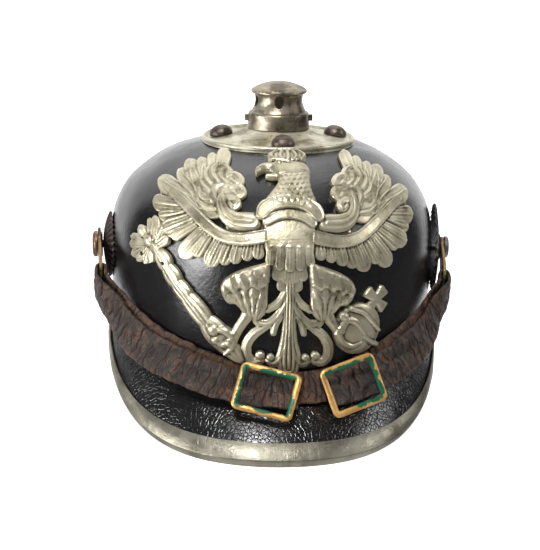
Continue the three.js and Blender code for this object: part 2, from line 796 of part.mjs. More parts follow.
// Spine: a strip from the crown plate down the back and over the rear visor
function spineLine() {
  const points = [];
  const lift = SEAT + SPINE.thickness / 2;
  const top = domeAngle(SPINE.startRadius);
  for (let i = 0; i <= 7; i += 1) {
    const [radius, z] = domeAt(top * (1 - i / 7), lift);
    points.push(drawOval(vec(0, radius, z)));
  }
  const rim = rimHeight(Math.PI);
  for (const z of [rim + 40, rim + 22, rim + 9]) {
    points.push(shellPoint(Math.PI, z).addScaledVector(wallNormal(Math.PI, z), lift));
  }
  const { edge, inward, up, width } = visorFrame(REAR_VISOR, 0);
  for (const t of [0.72, 0.45, 0.2, -0.04]) {
    const swell = REAR_VISOR.arch * 4 * t * (1 - t) + VISOR.thickness + lift;
    points.push(edge.clone().addScaledVector(inward, width * t).addScaledVector(up, swell));
  }
  return points;
}

function spineSolid() {
  const line = spineLine();
  const aside = vec(SPINE.width / 2, 0, 0);
  const rings = line.map((point, i) => {
    const before = line[Math.max(i - 1, 0)];
    const after = line[Math.min(i + 1, line.length - 1)];
    const normal = after.clone().sub(before).cross(vec(1, 0, 0)).normalize();
    const skin = normal.multiplyScalar(SPINE.thickness / 2);
    return [
      point.clone().add(aside).add(skin),
      point.clone().sub(aside).add(skin),
      point.clone().sub(aside).sub(skin),
      point.clone().add(aside).sub(skin),
    ];
  });
  return loftThrough(rings);
}

// Eagle plate: p across and q up on the skull's front, measured from its middle at the widest ring
function frontMeridian() {
  const line = [];
  for (let z = 34; z < SHELL.wideZ; z += 3) {
    line.push({ radius: wallRadius((SHELL.wideZ - z) / (SHELL.wideZ - SHELL.rimFront)), z });
  }
  const seat = line.length;
  for (let angle = 0; angle < 1.45; angle += 0.03) {
    const [radius, z] = domeAt(angle);
    line.push({ radius, z });
  }
  let run = 0;
  line.forEach((spot, i) => {
    spot.place = drawOval(vec(0, -spot.radius, spot.z));
    run += i > 0 ? spot.place.distanceTo(line[i - 1].place) : 0;
    spot.run = run;
  });
  const zero = line[seat].run;
  return line.map(({ radius, z, run: length }) => ({ radius, z, height: length - zero }));
}
const MERIDIAN = frontMeridian();

function skinPoint(across, height) {
  const found = MERIDIAN.findIndex((row) => row.height > height);
  const next = found < 1 ? (found === 0 ? 1 : MERIDIAN.length - 1) : found;
  const low = MERIDIAN[next - 1];
  const share = (height - low.height) / (MERIDIAN[next].height - low.height);
  const radius = THREE.MathUtils.lerp(low.radius, MERIDIAN[next].radius, share);
  const z = THREE.MathUtils.lerp(low.z, MERIDIAN[next].z, share);
  const turn = across / radius;
  return drawOval(vec(radius * Math.sin(turn), -radius * Math.cos(turn), z));
}

function badgePoint(p, q, lift) {
  const across = BADGE.shift + p;
  const height = q + p * Math.tan(radians(BADGE.tilt));
  const spot = skinPoint(across, height);
  const right = skinPoint(across + 0.2, height).sub(spot);
  const above = skinPoint(across, height + 0.2).sub(spot);
  return spot.addScaledVector(right.cross(above).normalize(), lift);
}

// A cushion on an outline of [p, q] points: upright edge, sloping shoulder, raised middle
function cushion(outline, edge, top, inset = 0.55) {
  const centre = outline.reduce(([p, q], point) => [p + point[0], q + point[1]], [0, 0]);
  const [p0, q0] = centre.map((sum) => sum / outline.length);
  const ring = (share, lift) => outline.map(
    ([p, q]) => badgePoint(p0 + (p - p0) * share, q0 + (q - q0) * share, lift),
  );
  const rings = [ring(1, -BADGE.sink), ring(1, edge)];
  if (inset > 0) rings.push(ring(inset, top));
  return loft(rings, badgePoint(p0, q0, -BADGE.sink), badgePoint(p0, q0, top + 0.15));
}

// Cross-sections of bands, as shares of the width: flat face, rounded ridge, plain ridge
function walled(edge, crest) {
  return [[-0.5, -BADGE.sink], [-0.5, edge], ...crest, [0.5, edge], [0.5, -BADGE.sink]];
}
const flatFace = (edge, top) => walled(edge, [[-0.3, top], [0.3, top]]);
const ridge = (edge, top) => walled(edge, [[0, top]]);
function roof(top) {
  const foot = (0.5 * (top + BADGE.sink)) / (top - SEAT);
  return [[-foot, -BADGE.sink], [0, top], [foot, -BADGE.sink]];
}

// A raised band along [p, q, width] rows
function band(rows, profile, count) {
  const line = new THREE.CatmullRomCurve3(rows.map(([p, q, width]) => vec(p, q, width)));
  const rings = steps(0, 1, count).map((t) => {
    const spot = line.getPoint(t);
    const along = line.getTangent(t).setZ(0).normalize();
    return profile.map(([x, lift]) => {
      const out = x * spot.z;
      return badgePoint(spot.x + along.y * out, spot.y - along.x * out, lift);
    });
  });
  return loftThrough(rings);
}

function feather(root, tip, width, edge, top) {
  const along = [tip[0] - root[0], tip[1] - root[1]];
  const length = Math.hypot(...along);
  const [ux, uy] = along.map((part) => part / length);
  const spots = [[0, -0.34], [length - width * 0.36, -0.5], [length, 0]];
  const rest = spots.slice(0, -1).reverse().map(([s, t]) => [s, -t]);
  const outline = [...spots, ...rest].map(([s, t]) => [
    root[0] + ux * s - uy * t * width,
    root[1] + uy * s + ux * t * width,
  ]);
  return cushion(outline, edge, top, 0);
}

// Rows of feathers fan between a line of roots and a line of tips; points are [p, q] on the right wing
const FEATHER_ROWS = [
  {
    count: 8,
    width: 12,
    top: 2.1,
    roots: [[14, 20], [21, 18], [28, 17.5], [35, 18.5], [43, 21], [50, 26], [55, 30], [57, 34]],
    tips: [[15, 11], [24, 8.6], [32, 6.4], [40, 4.5], [54.5, 5.6], [67, 14.4], [75.6, 27], [73, 34]],
  },
  {
    count: 5,
    width: 14,
    top: 2.6,
    roots: [[50, 37], [46, 42], [43, 46], [39, 50], [35, 56]],
    tips: [[75.4, 41.2], [61, 54.5], [52.5, 65.2], [41.5, 72.5], [33, 80]],
  },
];
const COVERTS = [
  [29, 36], [38, 28], [50, 30], [58, 38], [56, 50], [48, 58], [40, 64], [31, 62], [25.5, 50],
];
const CURLS = [
  { p: 25.2, q: 46.4, radius: 4.4 },
  { p: 26.2, q: 54.6, radius: 4.8 },
  { p: 31.4, q: 60.8, radius: 4.8 },
];
const ARM = [[13.8, 28.8, 8], [20, 29, 9.6], [27, 29.2, 9.4], [32, 32.4, 8], [34, 38, 6]];
const RIBBON = [[11, 22.4, 6.6], [24, 19.6, 6.4], [35, 20.6, 6.4], [46, 27, 6.6], [56, 33.2, 6.6], [66, 37.6, 5]];
// The left wing is set higher towards its tips
const LEFT_WING = { from: 30, lift: 0.07 };
const THIGH = [
  [9, 9.6], [19.7, 6.9], [26, 4], [31.6, -0.6], [33, -6], [29, -12], [21, -17], [14.6, -18], [10.6, -12], [10.2, 0],
];
const FRONDS = [
  [[0.5, -3, 3], [4, -9.5, 4], [10, -13, 3.4]],
  [[1, -10, 3.4], [5.5, -17.5, 4], [10.5, -21.6, 4.4], [16, -19.6, 3]],
  [[1.5, -18, 3], [6, -24, 3.6], [8.6, -27.6, 3.2]],
  [[11.6, -22, 3], [17.2, -26.7, 4.6], [20.6, -33, 5], [19.6, -39.6, 4.8], [15.6, -42, 4.2], [12.8, -39.6, 3]],
  [[2.5, -35, 4], [4.6, -40.4, 4], [7.8, -42.4, 3.6], [10.4, -40, 3]],
];

function disc(p, q, radius, count = 8) {
  const angles = steps(0, 2 * Math.PI, count).slice(0, count);
  return angles.map((angle) => [p + radius * Math.cos(angle), q + radius * Math.sin(angle)]);
}

function wing(side) {
  const lift = (p) => (side < 0 ? LEFT_WING.lift * Math.max(p - LEFT_WING.from, 0) : 0);
  const flip = ([p, q, ...rest]) => [side * p, q + lift(p), ...rest];
  const pieces = [];
  for (const { count, width, top, roots, tips } of FEATHER_ROWS) {
    const spline = (points) => new THREE.SplineCurve(points.map(([p, q]) => new THREE.Vector2(p, q)));
    const [rootLine, tipLine] = [roots, tips].map(spline);
    steps(0, 1, count - 1).forEach((t, i) => {
      const [root, tip] = [rootLine, tipLine].map((line) => flip(line.getPoint(t).toArray()));
      pieces.push(feather(root, tip, width, 1 + 0.5 * (i % 2), top + 0.5 * (i % 2)));
    });
  }
  pieces.push(cushion(COVERTS.map(flip), 1.8, 3.2, 0.65));
  for (const { p, q, radius } of CURLS) pieces.push(cushion(disc(side * p, q, radius, 5), 2.2, 4.2, 0));
  pieces.push(band(ARM.map(flip), ridge(1.6, 4.2), 5));
  pieces.push(band(RIBBON.map(flip), flatFace(2.8, 3.4), 5));
  return pieces;
}

const BODY = [
  [-11.5, 33], [0, 36], [11.5, 33], [11.5, 19], [9.5, 11], [5, 4], [0, -4], [-5, 4], [-9.5, 11], [-11.5, 19],
];
const HEAD = [[-5, 57.5], [3, 56], [10, 58], [10.6, 65], [7.4, 69.6], [0, 70.6], [-6, 69.4], [-9.4, 65.6]];
const CROWN = [[-8, 69.5], [-9.4, 74], [-9.2, 79], [-4, 82], [4, 82], [9.2, 79], [9.6, 74], [7.4, 69.5]];
const NECK_BAND = [[0.5, 36, 26], [1, 44, 22], [2.4, 51, 17.6], [2.8, 58, 15.6]];
const BREAST_BAND = [[-13.6, 32.6, 7], [-7, 38.6, 8.4], [0, 40.2, 8.6], [7, 38.6, 8.4], [13.8, 32.4, 7]];
const BEAK = [[-2, 65.4, 8.4], [-8.4, 66, 7], [-12.8, 64.4, 4.6], [-15.8, 60, 1.6]];
const JAW = [[-2, 60, 6], [-10.2, 58, 3]];
const TAIL_STEM = [[0, 4, 10], [0.2, -10, 7.4], [0.3, -22, 6.8], [0.3, -34, 9], [0.4, -43.5, 12.4]];
const SHANKS = [
  [[-18.4, -15, 8], [-22.6, -21, 5], [-28, -29.4, 5.6]],
  [[18, -15, 8], [22, -21, 5.2], [26, -26.4, 5.6]],
];
const SCEPTRE = [
  [-23.4, -40.6, 5], [-29, -35.2, 10.6], [-35.6, -28.6, 13.4], [-41, -22.8, 8.6], [-46.4, -17.6, 10.4],
  [-53.6, -10.4, 8.8], [-59.6, -4.2, 9.4], [-65.4, 2.8, 9], [-72, 8.4, 6.4],
];
const FINIAL = [
  [-64, 15], [-70, 22.6], [-76.4, 20.6], [-78, 15.4], [-82.6, 16.6], [-90, 10], [-88.4, -0.4], [-76, -0.2],
  [-69.4, 6],
];
const ORB = { p: 35.8, q: -25.2, radius: 13.4 };
const ORB_BAND = [[29, -16.4, 4], [36.4, -23.4, 4.6], [44, -33.4, 4]];
const CROSS = { p: 46.6, q: -11.4, reach: 7.6, narrow: 2.6, wide: 6.4 };

function crossArms() {
  const { p, q, reach, narrow, wide } = CROSS;
  return [42, 138, 222, 317].map((angle) => {
    const [c, s] = [Math.cos(radians(angle)), Math.sin(radians(angle))];
    const corners = [[-0.8, -narrow / 2], [reach, -wide / 2], [reach, wide / 2], [-0.8, narrow / 2]];
    return cushion(corners.map(([a, b]) => [p + a * c - b * s, q + a * s + b * c]), 1.6, 2.4, 0);
  });
}

function badgeSolid() {
  const mirrored = (rows) => rows.map(([p, ...rest]) => [-p, ...rest]);
  const pieces = [
    ...wing(-1),
    ...wing(1),
    cushion(BODY, 2.4, 4.6, 0.75),
    band(NECK_BAND, ridge(1.8, 5), 3),
    band(BREAST_BAND, flatFace(3.8, 5.4), 4),
    cushion(HEAD, 2.4, 5.6, 0),
    cushion(CROWN, 2.2, 4.2, 0),
    band(BEAK, ridge(1.6, 4.4), 4),
    band(JAW, roof(2.8), 1),
    cushion(THIGH, 2, 5.4, 0.45),
    cushion(mirrored(THIGH), 2, 5.4, 0.45),
    band(TAIL_STEM, ridge(1.6, 3.8), 5),
    ...FRONDS.flatMap((rows) => [rows, mirrored(rows)]).map((rows) => band(rows, roof(3), rows.length)),
    ...SHANKS.map((rows) => band(rows, roof(3.6), 2)),
    band(SCEPTRE, ridge(1.6, 4), 8),
    cushion(FINIAL, 1.6, 3.4, 0),
    cushion(disc(ORB.p, ORB.q, ORB.radius, 10), 2, 5.6, 0.6),
    band(ORB_BAND, roof(6.6), 2),
    ...crossArms(),
  ];
  const rim = PLATE.radius + SEAT;
  const plateRim = turned([[0, 100], [rim, 100], [rim, 180], [0, 180]], 32);
  const buckles = BUCKLES.map((spec) => buckleSolid(spec, SEAT));
  return cut(surface(joined(pieces)), [shellBlank(SEAT), plateRim, strapSolid(SEAT), ...buckles]);
}

// The skull in quarters, parted at the front, at the back and behind the side posts
const QUARTERS = [
  { name: 'front_right', start: 0 },
  { name: 'rear_right', start: 90 },
  { name: 'rear_left', start: 180 },
  { name: 'front_left', start: 270 },
];

function shellQuarter(start) {
  const count = SHELL.segments / 4;
  const grid = (out) => shellProfile(out, SHELL.ventRadius).map(
    ([radius, z]) => steps(0, 90, count).map((turn, i) => {
      const [s, c] = [Math.sin(radians(start + turn)), Math.cos(radians(start + turn))];
      const apart = i === 0 ? SEAT / 2 : i === count ? -SEAT / 2 : 0;
      return drawShell(vec(radius * s, -radius * c, z)).add(vec(c * apart, s * apart, 0));
    }),
  );
  const bore = ({ side }) => rod(POST.shank + SEAT, inFitting(side, 0, 0, -8), inFitting(side, 0, 0, 8));
  return cut(slab(grid(0), grid(-SHELL.wall)), SIDES.map(bore));
}

for (const { name, start } of QUARTERS) addPiece(`shell_${name}`, shellQuarter(start), LACQUER());
addPiece('front_visor', visorSolid(FRONT_VISOR), LACQUER());
addPiece('front_visor_trim', loftThrough(shares(VISOR.segments, EAR_END).map(trimSection)), NICKEL());
addPiece('rear_visor', loftThrough(shares(VISOR.segments).map(rearVisorSection)), LACQUER());
addPiece('rear_spine', spineSolid(), NICKEL());
addPiece('base_plate', plateSolid(), PALE_NICKEL());
addPiece('vent_neck', neckSolid(), NICKEL());
for (const { name, turn, ring } of STUDS) addPiece(`base_stud_${name}`, studSolid(turn, ring), DARK_NICKEL());
for (const { name, side } of SIDES) {
  addPiece(`side_post_${name}`, postSolid(side), DARK_NICKEL());
  addPiece(`cockade_${name}`, cockadeSolid(side), BLACK_TIN());
  addPiece(`strap_lug_${name}`, lugSolid(side), BRASS());
}
addPiece('chin_strap', strapSolid(), STRAP_LEATHER());
for (const spec of BUCKLES) addPiece(`buckle_${spec.name}`, buckleSolid(spec), BRASS());
addPiece('front_plate', badgeSolid(), NICKEL());

// The origin is the middle of the whole in plan, on the surface that the visors rest on
const whole = new THREE.Box3().setFromObject(helmet);
const centre = whole.getCenter(vec(0, 0, 0));
helmet.position.set(-centre.x, -centre.y, -whole.min.z);

export default helmet;
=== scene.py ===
"""Looks of an old leather infantry helmet without its spike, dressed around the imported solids.

Pieces are shaped in millimetres about the axis of the vent neck, with the front towards -Y,
and are put in place in metres when they are finished."""

from math import atan, cos, pi, radians, sin, tan
from types import SimpleNamespace as Sizes

import bmesh
import bpy
import numpy as np
from mathutils import Matrix, Vector


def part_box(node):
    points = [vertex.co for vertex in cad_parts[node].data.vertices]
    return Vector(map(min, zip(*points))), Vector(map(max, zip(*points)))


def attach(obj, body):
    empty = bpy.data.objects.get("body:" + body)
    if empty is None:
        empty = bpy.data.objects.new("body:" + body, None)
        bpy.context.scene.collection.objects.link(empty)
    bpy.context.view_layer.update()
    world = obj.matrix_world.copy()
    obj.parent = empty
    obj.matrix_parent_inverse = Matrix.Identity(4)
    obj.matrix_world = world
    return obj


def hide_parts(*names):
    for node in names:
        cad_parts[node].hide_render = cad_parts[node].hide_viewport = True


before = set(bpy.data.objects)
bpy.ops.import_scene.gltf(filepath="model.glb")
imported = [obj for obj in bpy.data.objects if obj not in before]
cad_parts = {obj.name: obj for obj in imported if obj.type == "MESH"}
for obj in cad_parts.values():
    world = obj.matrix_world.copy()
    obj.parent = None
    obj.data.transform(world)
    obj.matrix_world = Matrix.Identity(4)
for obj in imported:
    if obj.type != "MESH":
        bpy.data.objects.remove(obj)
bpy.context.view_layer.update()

# Sizes of the construction, in millimetres
SEAT = 0.3
SKULL = Sizes(
    half_width=88.5, wide_z=85.2, rise=58.4, power=2.32, front=1.18, rear=1.2, shift=8.0, aside=-2.5,
    tuck=0.035, wall=2.6, rim_ear=40.0, rim_front=31.0, rim_rear=28.0, vent=13.0,
)
FRONT_VISOR = Sizes(
    facing=-1, half_width=84.8, ear_y=-10.0, tip_y=-125.4, power=2.07, ear_z=38.0, edge_rise=1.74,
    flat=0.05, turn=-1.85, seam_turn=80.0, arch=1.2, hem=1.4, lift=1.1,
)
REAR_VISOR = Sizes(
    facing=1, half_width=86.0, ear_y=18.0, tip_y=139.0, power=2.1, ear_z=37.0, edge_rise=1.6,
    flat=0.06, turn=0.0, seam_turn=80.0, arch=2.0, hem=0.0, lift=0.0,
)
VISOR = Sizes(thickness=2.4, rest_step=1.4, ear_end=0.98, columns=110, steps=8)
TRIM = Sizes(face=10.2, face_at_ear=4.2, lap=5.5, sheet=0.8)
PLATE = Sizes(radius=41.25, rim_z=140.2, flank_outer=38.4, flank_inner=29.2, flank_z=141.35,
              flank_rise=1.65, collar_radius=17.4, collar_z=146.7)
NECK = Sizes(collar=16.3, waist=12.7, cap=15.0, base_z=147.0, shoulder_z=155.4, waist_z=162.5, cap_z=166.4,
             top_z=172.0, wall=1.6)
VENT = Sizes(count=5, width=5.0, height=7.0, z=162.0, front_turn=-4.0)
PEG = Sizes(size=3.4, reach=2.0, z=152.2)
STUD = Sizes(radius=6.2, rise=5.0)
STUDS = {"front": (0, 32.1), "right": (90, 30.8), "back": (180, 32.1), "left": (270, 30.8)}
SIDES = {
    "left": Sizes(side=-1, turn=86.0, z=82.0, washer=0.6, head=7.1, eye=9.0, lean=59.0, disc=17.5, bend=1),
    "right": Sizes(side=1, turn=83.0, z=81.5, washer=0.3, head=6.0, eye=5.6, lean=54.0, disc=23.5, bend=0),
}
POST = Sizes(head=2.8, neck=3.0, washer_radius=7.2, shank=2.2)
COCKADE = Sizes(rise=2.6, sheet=0.9, bore=3.4, flutes=33, flute_depth=0.35)
LUG = Sizes(thickness=1.6, reach=27.0, width=24.0, slot_width=18.6, slot=3.8, bar=2.8)
STRAP = Sizes(width=17.5, thickness=2.2, layer_gap=0.4, layer_drop=4.0, straight=4.0, wall_gap=1.0,
              left_end=3.0, right_end=12.5)
BUCKLE = Sizes(length=31.2, height=25.4, bar=3.2, thickness=2.4, corner=2.6)
SPINE = Sizes(width=10.0, thickness=1.2, start=39.6)
BADGE = Sizes(shift=1.5, tilt=-1.5, grid=0.36)

AXIS = sum(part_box("base_plate"), Vector()) / 2
AXIS.z = 0
PLACE = Matrix.Translation(AXIS) @ Matrix.Scale(0.001, 4)
UP = np.array([0.0, 0.0, 1.0])


# Small tools for arrays of points
def unit(vectors):
    return vectors / np.linalg.norm(vectors, axis=-1, keepdims=True)


def mixed(a, b, share):
    return a + (b - a) * share


def eased(value, low, high):
    t = np.clip((value - low) / (high - low), 0, 1)
    return t * t * (3 - 2 * t)


def ripple(spots, length, seed):
    """A smooth, even unevenness between about -1 and 1 over points, with waves of about that length"""
    draw = np.random.default_rng(seed)
    count = 14
    ways = unit(draw.normal(size=(count, spots.shape[-1]))) * draw.uniform(0.6, 1.6, (count, 1))
    phases = draw.uniform(0, 2 * pi, count)
    waves = np.sin(spots @ ways.T * (2 * pi / length) + phases)
    return waves.sum(axis=-1) / np.sqrt(count)


def smooth_line(rows, count, closed=False):
    """Points of a smooth line through rows of any width"""
    rows = np.array(rows, float)
    if closed:
        padded = np.concatenate([rows[-1:], rows, rows[:2]])
    else:
        padded = np.concatenate([2 * rows[:1] - rows[1:2], rows, 2 * rows[-1:] - rows[-2:-1]])
    spans = len(padded) - 3
    place = np.linspace(0, spans, count, endpoint=not closed)
    first = np.minimum(place.astype(int), spans - 1)
    t = (place - first)[:, None]
    a, b, c, d = (padded[first + k] for k in range(4))
    bend = (2 * a - 5 * b + 4 * c - d) * t**2 + (3 * b - a - 3 * c + d) * t**3
    return 0.5 * (2 * b + (c - a) * t + bend)


# Small tools for meshes
def grid_cell(vert, columns, rows):
    """Column and row of a point of a grid that was made with size 1"""
    return round((vert.co.x + 1) / 2 * (columns - 1)), round((vert.co.y + 1) / 2 * (rows - 1))


def skin(rings, around=True, along=False, marks=None):
    """A grid laid on rings of points, closed around each ring, and along the row of rings where asked;
    marks are named values or vectors that its points keep"""
    count, length = rings.shape[:2]
    if around:
        rings = np.concatenate([rings, rings[:, :1]], axis=1)
    if along:
        rings = np.concatenate([rings, rings[:1]], axis=0)
    columns, rows = rings.shape[:2]
    bm = bmesh.new()
    bmesh.ops.create_grid(bm, x_segments=columns - 1, y_segments=rows - 1, size=1)
    kept = []
    for name, values in (marks or {}).items():
        layers = bm.verts.layers.float_vector if values.ndim > 2 else bm.verts.layers.float
        kept.append((layers.new(name), values))
    for vert in bm.verts:
        column, row = grid_cell(vert, columns, rows)
        vert.co = rings[column, row]
        for layer, values in kept:
            vert[layer] = values[column % count, row % length]
    bmesh.ops.remove_doubles(bm, verts=bm.verts, dist=1e-4)
    if around and not along:
        bmesh.ops.holes_fill(bm, edges=[edge for edge in bm.edges if edge.is_boundary], sides=0)
    bmesh.ops.recalc_face_normals(bm, faces=bm.faces)
    return bm


def rounded(ring, radius):
    """A ring of corners, each an array of points, with every corner rounded off"""
    corners = np.array(ring, float)
    before = np.roll(corners, 1, axis=0)
    after = np.roll(corners, -1, axis=0)

    def stepped(target):
        way = target - corners
        length = np.linalg.norm(way, axis=-1, keepdims=True)
        return corners + way / np.maximum(length, 1e-9) * np.minimum(radius, length * 0.45)

    start, end = stepped(before), stepped(after)
    bend = 0.25 * start + 0.5 * corners + 0.25 * end
    return np.stack([start, bend, end], axis=1).reshape(-1, *corners.shape[1:])


def turned(profile, segments):
    """A profile of (radius, height) rows turned about the axis"""
    bm = bmesh.new()
    verts = [bm.verts.new((radius, 0, z)) for radius, z in profile]
    edges = [bm.edges.new(pair) for pair in zip(verts, verts[1:])]
    bmesh.ops.spin(bm, geom=verts + edges, cent=(0, 0, 0), axis=(0, 0, 1), dvec=(0, 0, 0),
                   angle=2 * pi, steps=segments, use_merge=True)
    bmesh.ops.remove_doubles(bm, verts=bm.verts, dist=1e-4)
    bmesh.ops.recalc_face_normals(bm, faces=bm.faces)
    return bm


def curve_profile(rows, count):
    return [tuple(row) for row in smooth_line(rows, count)]


def mould(bm, place):
    """Moves every point of a mesh at once by a function of an array of points"""
    spots = place(np.array([vert.co for vert in bm.verts]))
    for vert, spot in zip(bm.verts, spots):
        vert.co = spot
    bmesh.ops.recalc_face_normals(bm, faces=bm.faces)
    return bm


def set_in(bm, frame_of):
    """Turns a mesh made flat into a frame of origin and three directions"""
    origin, x, y, z = frame_of
    return mould(bm, lambda spots: origin + spots[:, :1] * x + spots[:, 1:2] * y + spots[:, 2:] * z)


def joined(meshes):
    """One mesh that holds several"""
    whole = bmesh.new()
    for bm in meshes:
        part = bpy.data.meshes.new("part")
        bm.to_mesh(part)
        bm.free()
        whole.from_mesh(part)
        bpy.data.meshes.remove(part)
    return whole


def as_object(name, bm):
    mesh = bpy.data.meshes.new(name)
    bm.to_mesh(mesh)
    bm.free()
    obj = bpy.data.objects.new(name, mesh)
    bpy.context.scene.collection.objects.link(obj)
    return obj


def cut(bm, cutter):
    """The mesh with the cutter's space taken out"""
    body, tool = as_object("body", bm), as_object("tool", cutter)
    knife = body.modifiers.new("cut", "BOOLEAN")
    knife.operation = "DIFFERENCE"
    knife.solver = "EXACT"
    knife.object = tool
    mesh = bpy.data.meshes.new_from_object(body.evaluated_get(bpy.context.evaluated_depsgraph_get()))
    left = bmesh.new()
    left.from_mesh(mesh)
    for obj in (body, tool):
        old = obj.data
        bpy.data.objects.remove(obj)
        bpy.data.meshes.remove(old)
    bpy.data.meshes.remove(mesh)
    return left


def finish_piece(name, bm, finish, nodes, sharp=38, bevel=0):
    """Puts a shaped mesh in place as a piece that stands for solids and rides with them"""
    bmesh.ops.transform(bm, matrix=PLACE, verts=bm.verts)
    piece = as_object(name, bm)
    piece.data.shade_smooth()
    piece.data.set_sharp_from_angle(angle=radians(sharp))
    if not piece.data.materials:
        piece.data.materials.append(finish)
    if bevel:
        rounding = piece.modifiers.new("rounding", "BEVEL")
        rounding.width = bevel / 1000
        rounding.segments = 2
        rounding.limit_method = "ANGLE"
        rounding.angle_limit = radians(35)
    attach(piece, "root")
    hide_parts(*nodes)
    return piece


# The skull's form: a turned dome drawn out to an egg-shaped rim; turn 0 is the front, + towards +X
def draw_oval(spots):
    x, y, z = spots.T
    share = np.minimum(1, (x * x + y * y) / SKULL.half_width**2)
    stretch = np.where(y < 0, SKULL.front, SKULL.rear)
    drawn_out = y * (1 + (stretch - 1) * share) + SKULL.shift * share
    return np.stack([x + SKULL.aside * share, drawn_out, z], axis=1)


def rim_height(turn):
    ahead = np.cos(turn)
    low = np.where(ahead > 0, SKULL.rim_front, SKULL.rim_rear)
    return SKULL.rim_ear + (low - SKULL.rim_ear) * ahead**2


def wall_radius(down):
    return SKULL.half_width * (1 - SKULL.tuck * down**2)


def dome_at(angle, out=0.0):
    share = 2 / SKULL.power
    radius = (SKULL.half_width + out) * np.cos(angle) ** share
    return radius, SKULL.wide_z + (SKULL.rise + out) * np.sin(angle) ** share


def dome_angle(radius, out=0.0):
    return np.arccos((radius / (SKULL.half_width + out)) ** (SKULL.power / 2))


def turned_spot(turn, radius, z):
    return np.stack([radius * np.sin(turn), -radius * np.cos(turn), z], axis=-1).reshape(-1, 3)


def skull_point(turn, z):
    turn, z = np.broadcast_arrays(np.atleast_1d(turn).astype(float), np.atleast_1d(z).astype(float))
    up = np.maximum(z - SKULL.wide_z, 0) / SKULL.rise
    down = np.maximum(SKULL.wide_z - z, 0) / (SKULL.wide_z - rim_height(turn))
    return draw_oval(turned_spot(turn, wall_radius(down) * (1 - up**SKULL.power) ** (1 / SKULL.power), z))


def wall_normal(turn, z):
    along = skull_point(turn + 0.01, z) - skull_point(turn - 0.01, z)
    return unit(np.stack([along[:, 1], -along[:, 0], np.zeros(len(along))], axis=1))


def draw_skull(spots):
    """The lower wall reaches down to the rim, which dips at the front and the back"""
    spots = spots.copy()
    low = spots[:, 2] < SKULL.wide_z
    turn = np.arctan2(spots[low, 0], -spots[low, 1])
    depth = (SKULL.wide_z - rim_height(turn)) / (SKULL.wide_z - SKULL.rim_ear)
    spots[low, 2] = SKULL.wide_z - (SKULL.wide_z - spots[low, 2]) * depth
    return draw_oval(spots)


def skull_profile(out):
    down = np.linspace(1, 0, 9)[:-1]
    rows = list(zip(wall_radius(down) + out, SKULL.wide_z - (SKULL.wide_z - SKULL.rim_ear) * down))
    angles = np.linspace(0, dome_angle(SKULL.vent, out), 30)
    return rows + list(zip(*dome_at(angles, out)))


SHELL_NODES = [f"shell_{place}_{side}" for place in ("front", "rear") for side in SIDES]


def make_skull(lacquer, raw_leather):
    outer = skull_profile(0)
    inner = skull_profile(-SKULL.wall)[::-1]
    middle = (outer[0][0] - SKULL.wall / 2, outer[0][1] - 0.5)
    bm = turned([middle, *outer, *inner, middle], segments=128)

    def uneven(spots):
        dents = 0.32 * ripple(spots, length=46, seed=3) + 0.1 * ripple(spots, length=15, seed=4)
        return spots + unit(spots - [0, 0, 60]) * dents[:, None]

    mould(bm, draw_skull)
    mould(bm, uneven)
    heart = Vector((SKULL.aside, SKULL.shift, 70))
    for face in bm.faces:
        face.material_index = int(face.normal.dot(face.calc_center_median() - heart) < 0)
    skull = finish_piece("skull_leather", bm, lacquer, SHELL_NODES)
    skull.data.materials.append(raw_leather)
    return skull


# Visors: share runs from -1 at one ear to 1 at the other
def visor_frame(spec, share):
    tau = radians(90) * share
    ahead = np.cos(tau) ** (2 / spec.power)
    aside = np.sign(share) * np.abs(np.sin(tau)) ** (2 / spec.power)
    rise = np.maximum(0, (1 - ahead - spec.flat) / (1 - spec.flat))
    x = spec.half_width * aside
    y = spec.ear_y + (spec.tip_y - spec.ear_y) * ahead - SKULL.shift
    c, s = cos(radians(spec.turn)), sin(radians(spec.turn))
    edge = np.stack([
        x * c - y * s + SKULL.aside, x * s + y * c + SKULL.shift, spec.ear_z * rise**spec.edge_rise,
    ], axis=1)
    seam_turn = radians(spec.seam_turn) * share
    turn = seam_turn if spec.facing < 0 else pi - seam_turn
    rim = rim_height(turn)
    wall = wall_normal(turn, rim)
    seam = skull_point(turn, rim) + wall * SEAT
    inward = seam - edge
    width = np.linalg.norm(inward, axis=1)
    inward = inward / width[:, None]
    up = unit(np.cross(np.cross(wall, UP), inward))
    up = np.where(up[:, 2:] < 0, -up, up)
    return Sizes(edge=edge, seam=seam, inward=inward, up=up, width=width)


def rest_corner(f):
    """The lower corner is cut off level with the surface that the edge rests on"""
    step = VISOR.rest_step
    on_face = f.edge + f.up * (step / np.maximum(f.up[:, 2:], 0.3)) - UP * step
    on_lap = f.edge + f.inward * (step / np.maximum(f.inward[:, 2:], 0.3)) - UP * step
    return on_face, on_lap


def visor_rows(spec, f):
    lower, upper = [], []
    for t in np.linspace(0, 1, VISOR.steps + 1):
        inset = spec.hem + (f.width - spec.hem) * t
        swell = spec.arch * 4 * t * (1 - t) + spec.lift * (1 - t)
        spot = f.edge + f.inward * inset[:, None] + f.up * swell
        lower.append(spot)
        upper.append(spot + f.up * VISOR.thickness)
    return lower, upper


def shares(reach):
    return np.linspace(-reach, reach, VISOR.columns + 1)


def paint_under(bm, corner=-0.25):
    """Faces that look down take the second finish"""
    for face in bm.faces:
        face.material_index = int(face.normal.z < corner)


def finish_visor(node, ring, lacquer, raw_leather):
    bm = skin(rounded(ring, radius=0.5).transpose(1, 0, 2))
    paint_under(bm)
    visor = finish_piece(f"{node}_leather", bm, lacquer, [node])
    visor.data.materials.append(raw_leather)


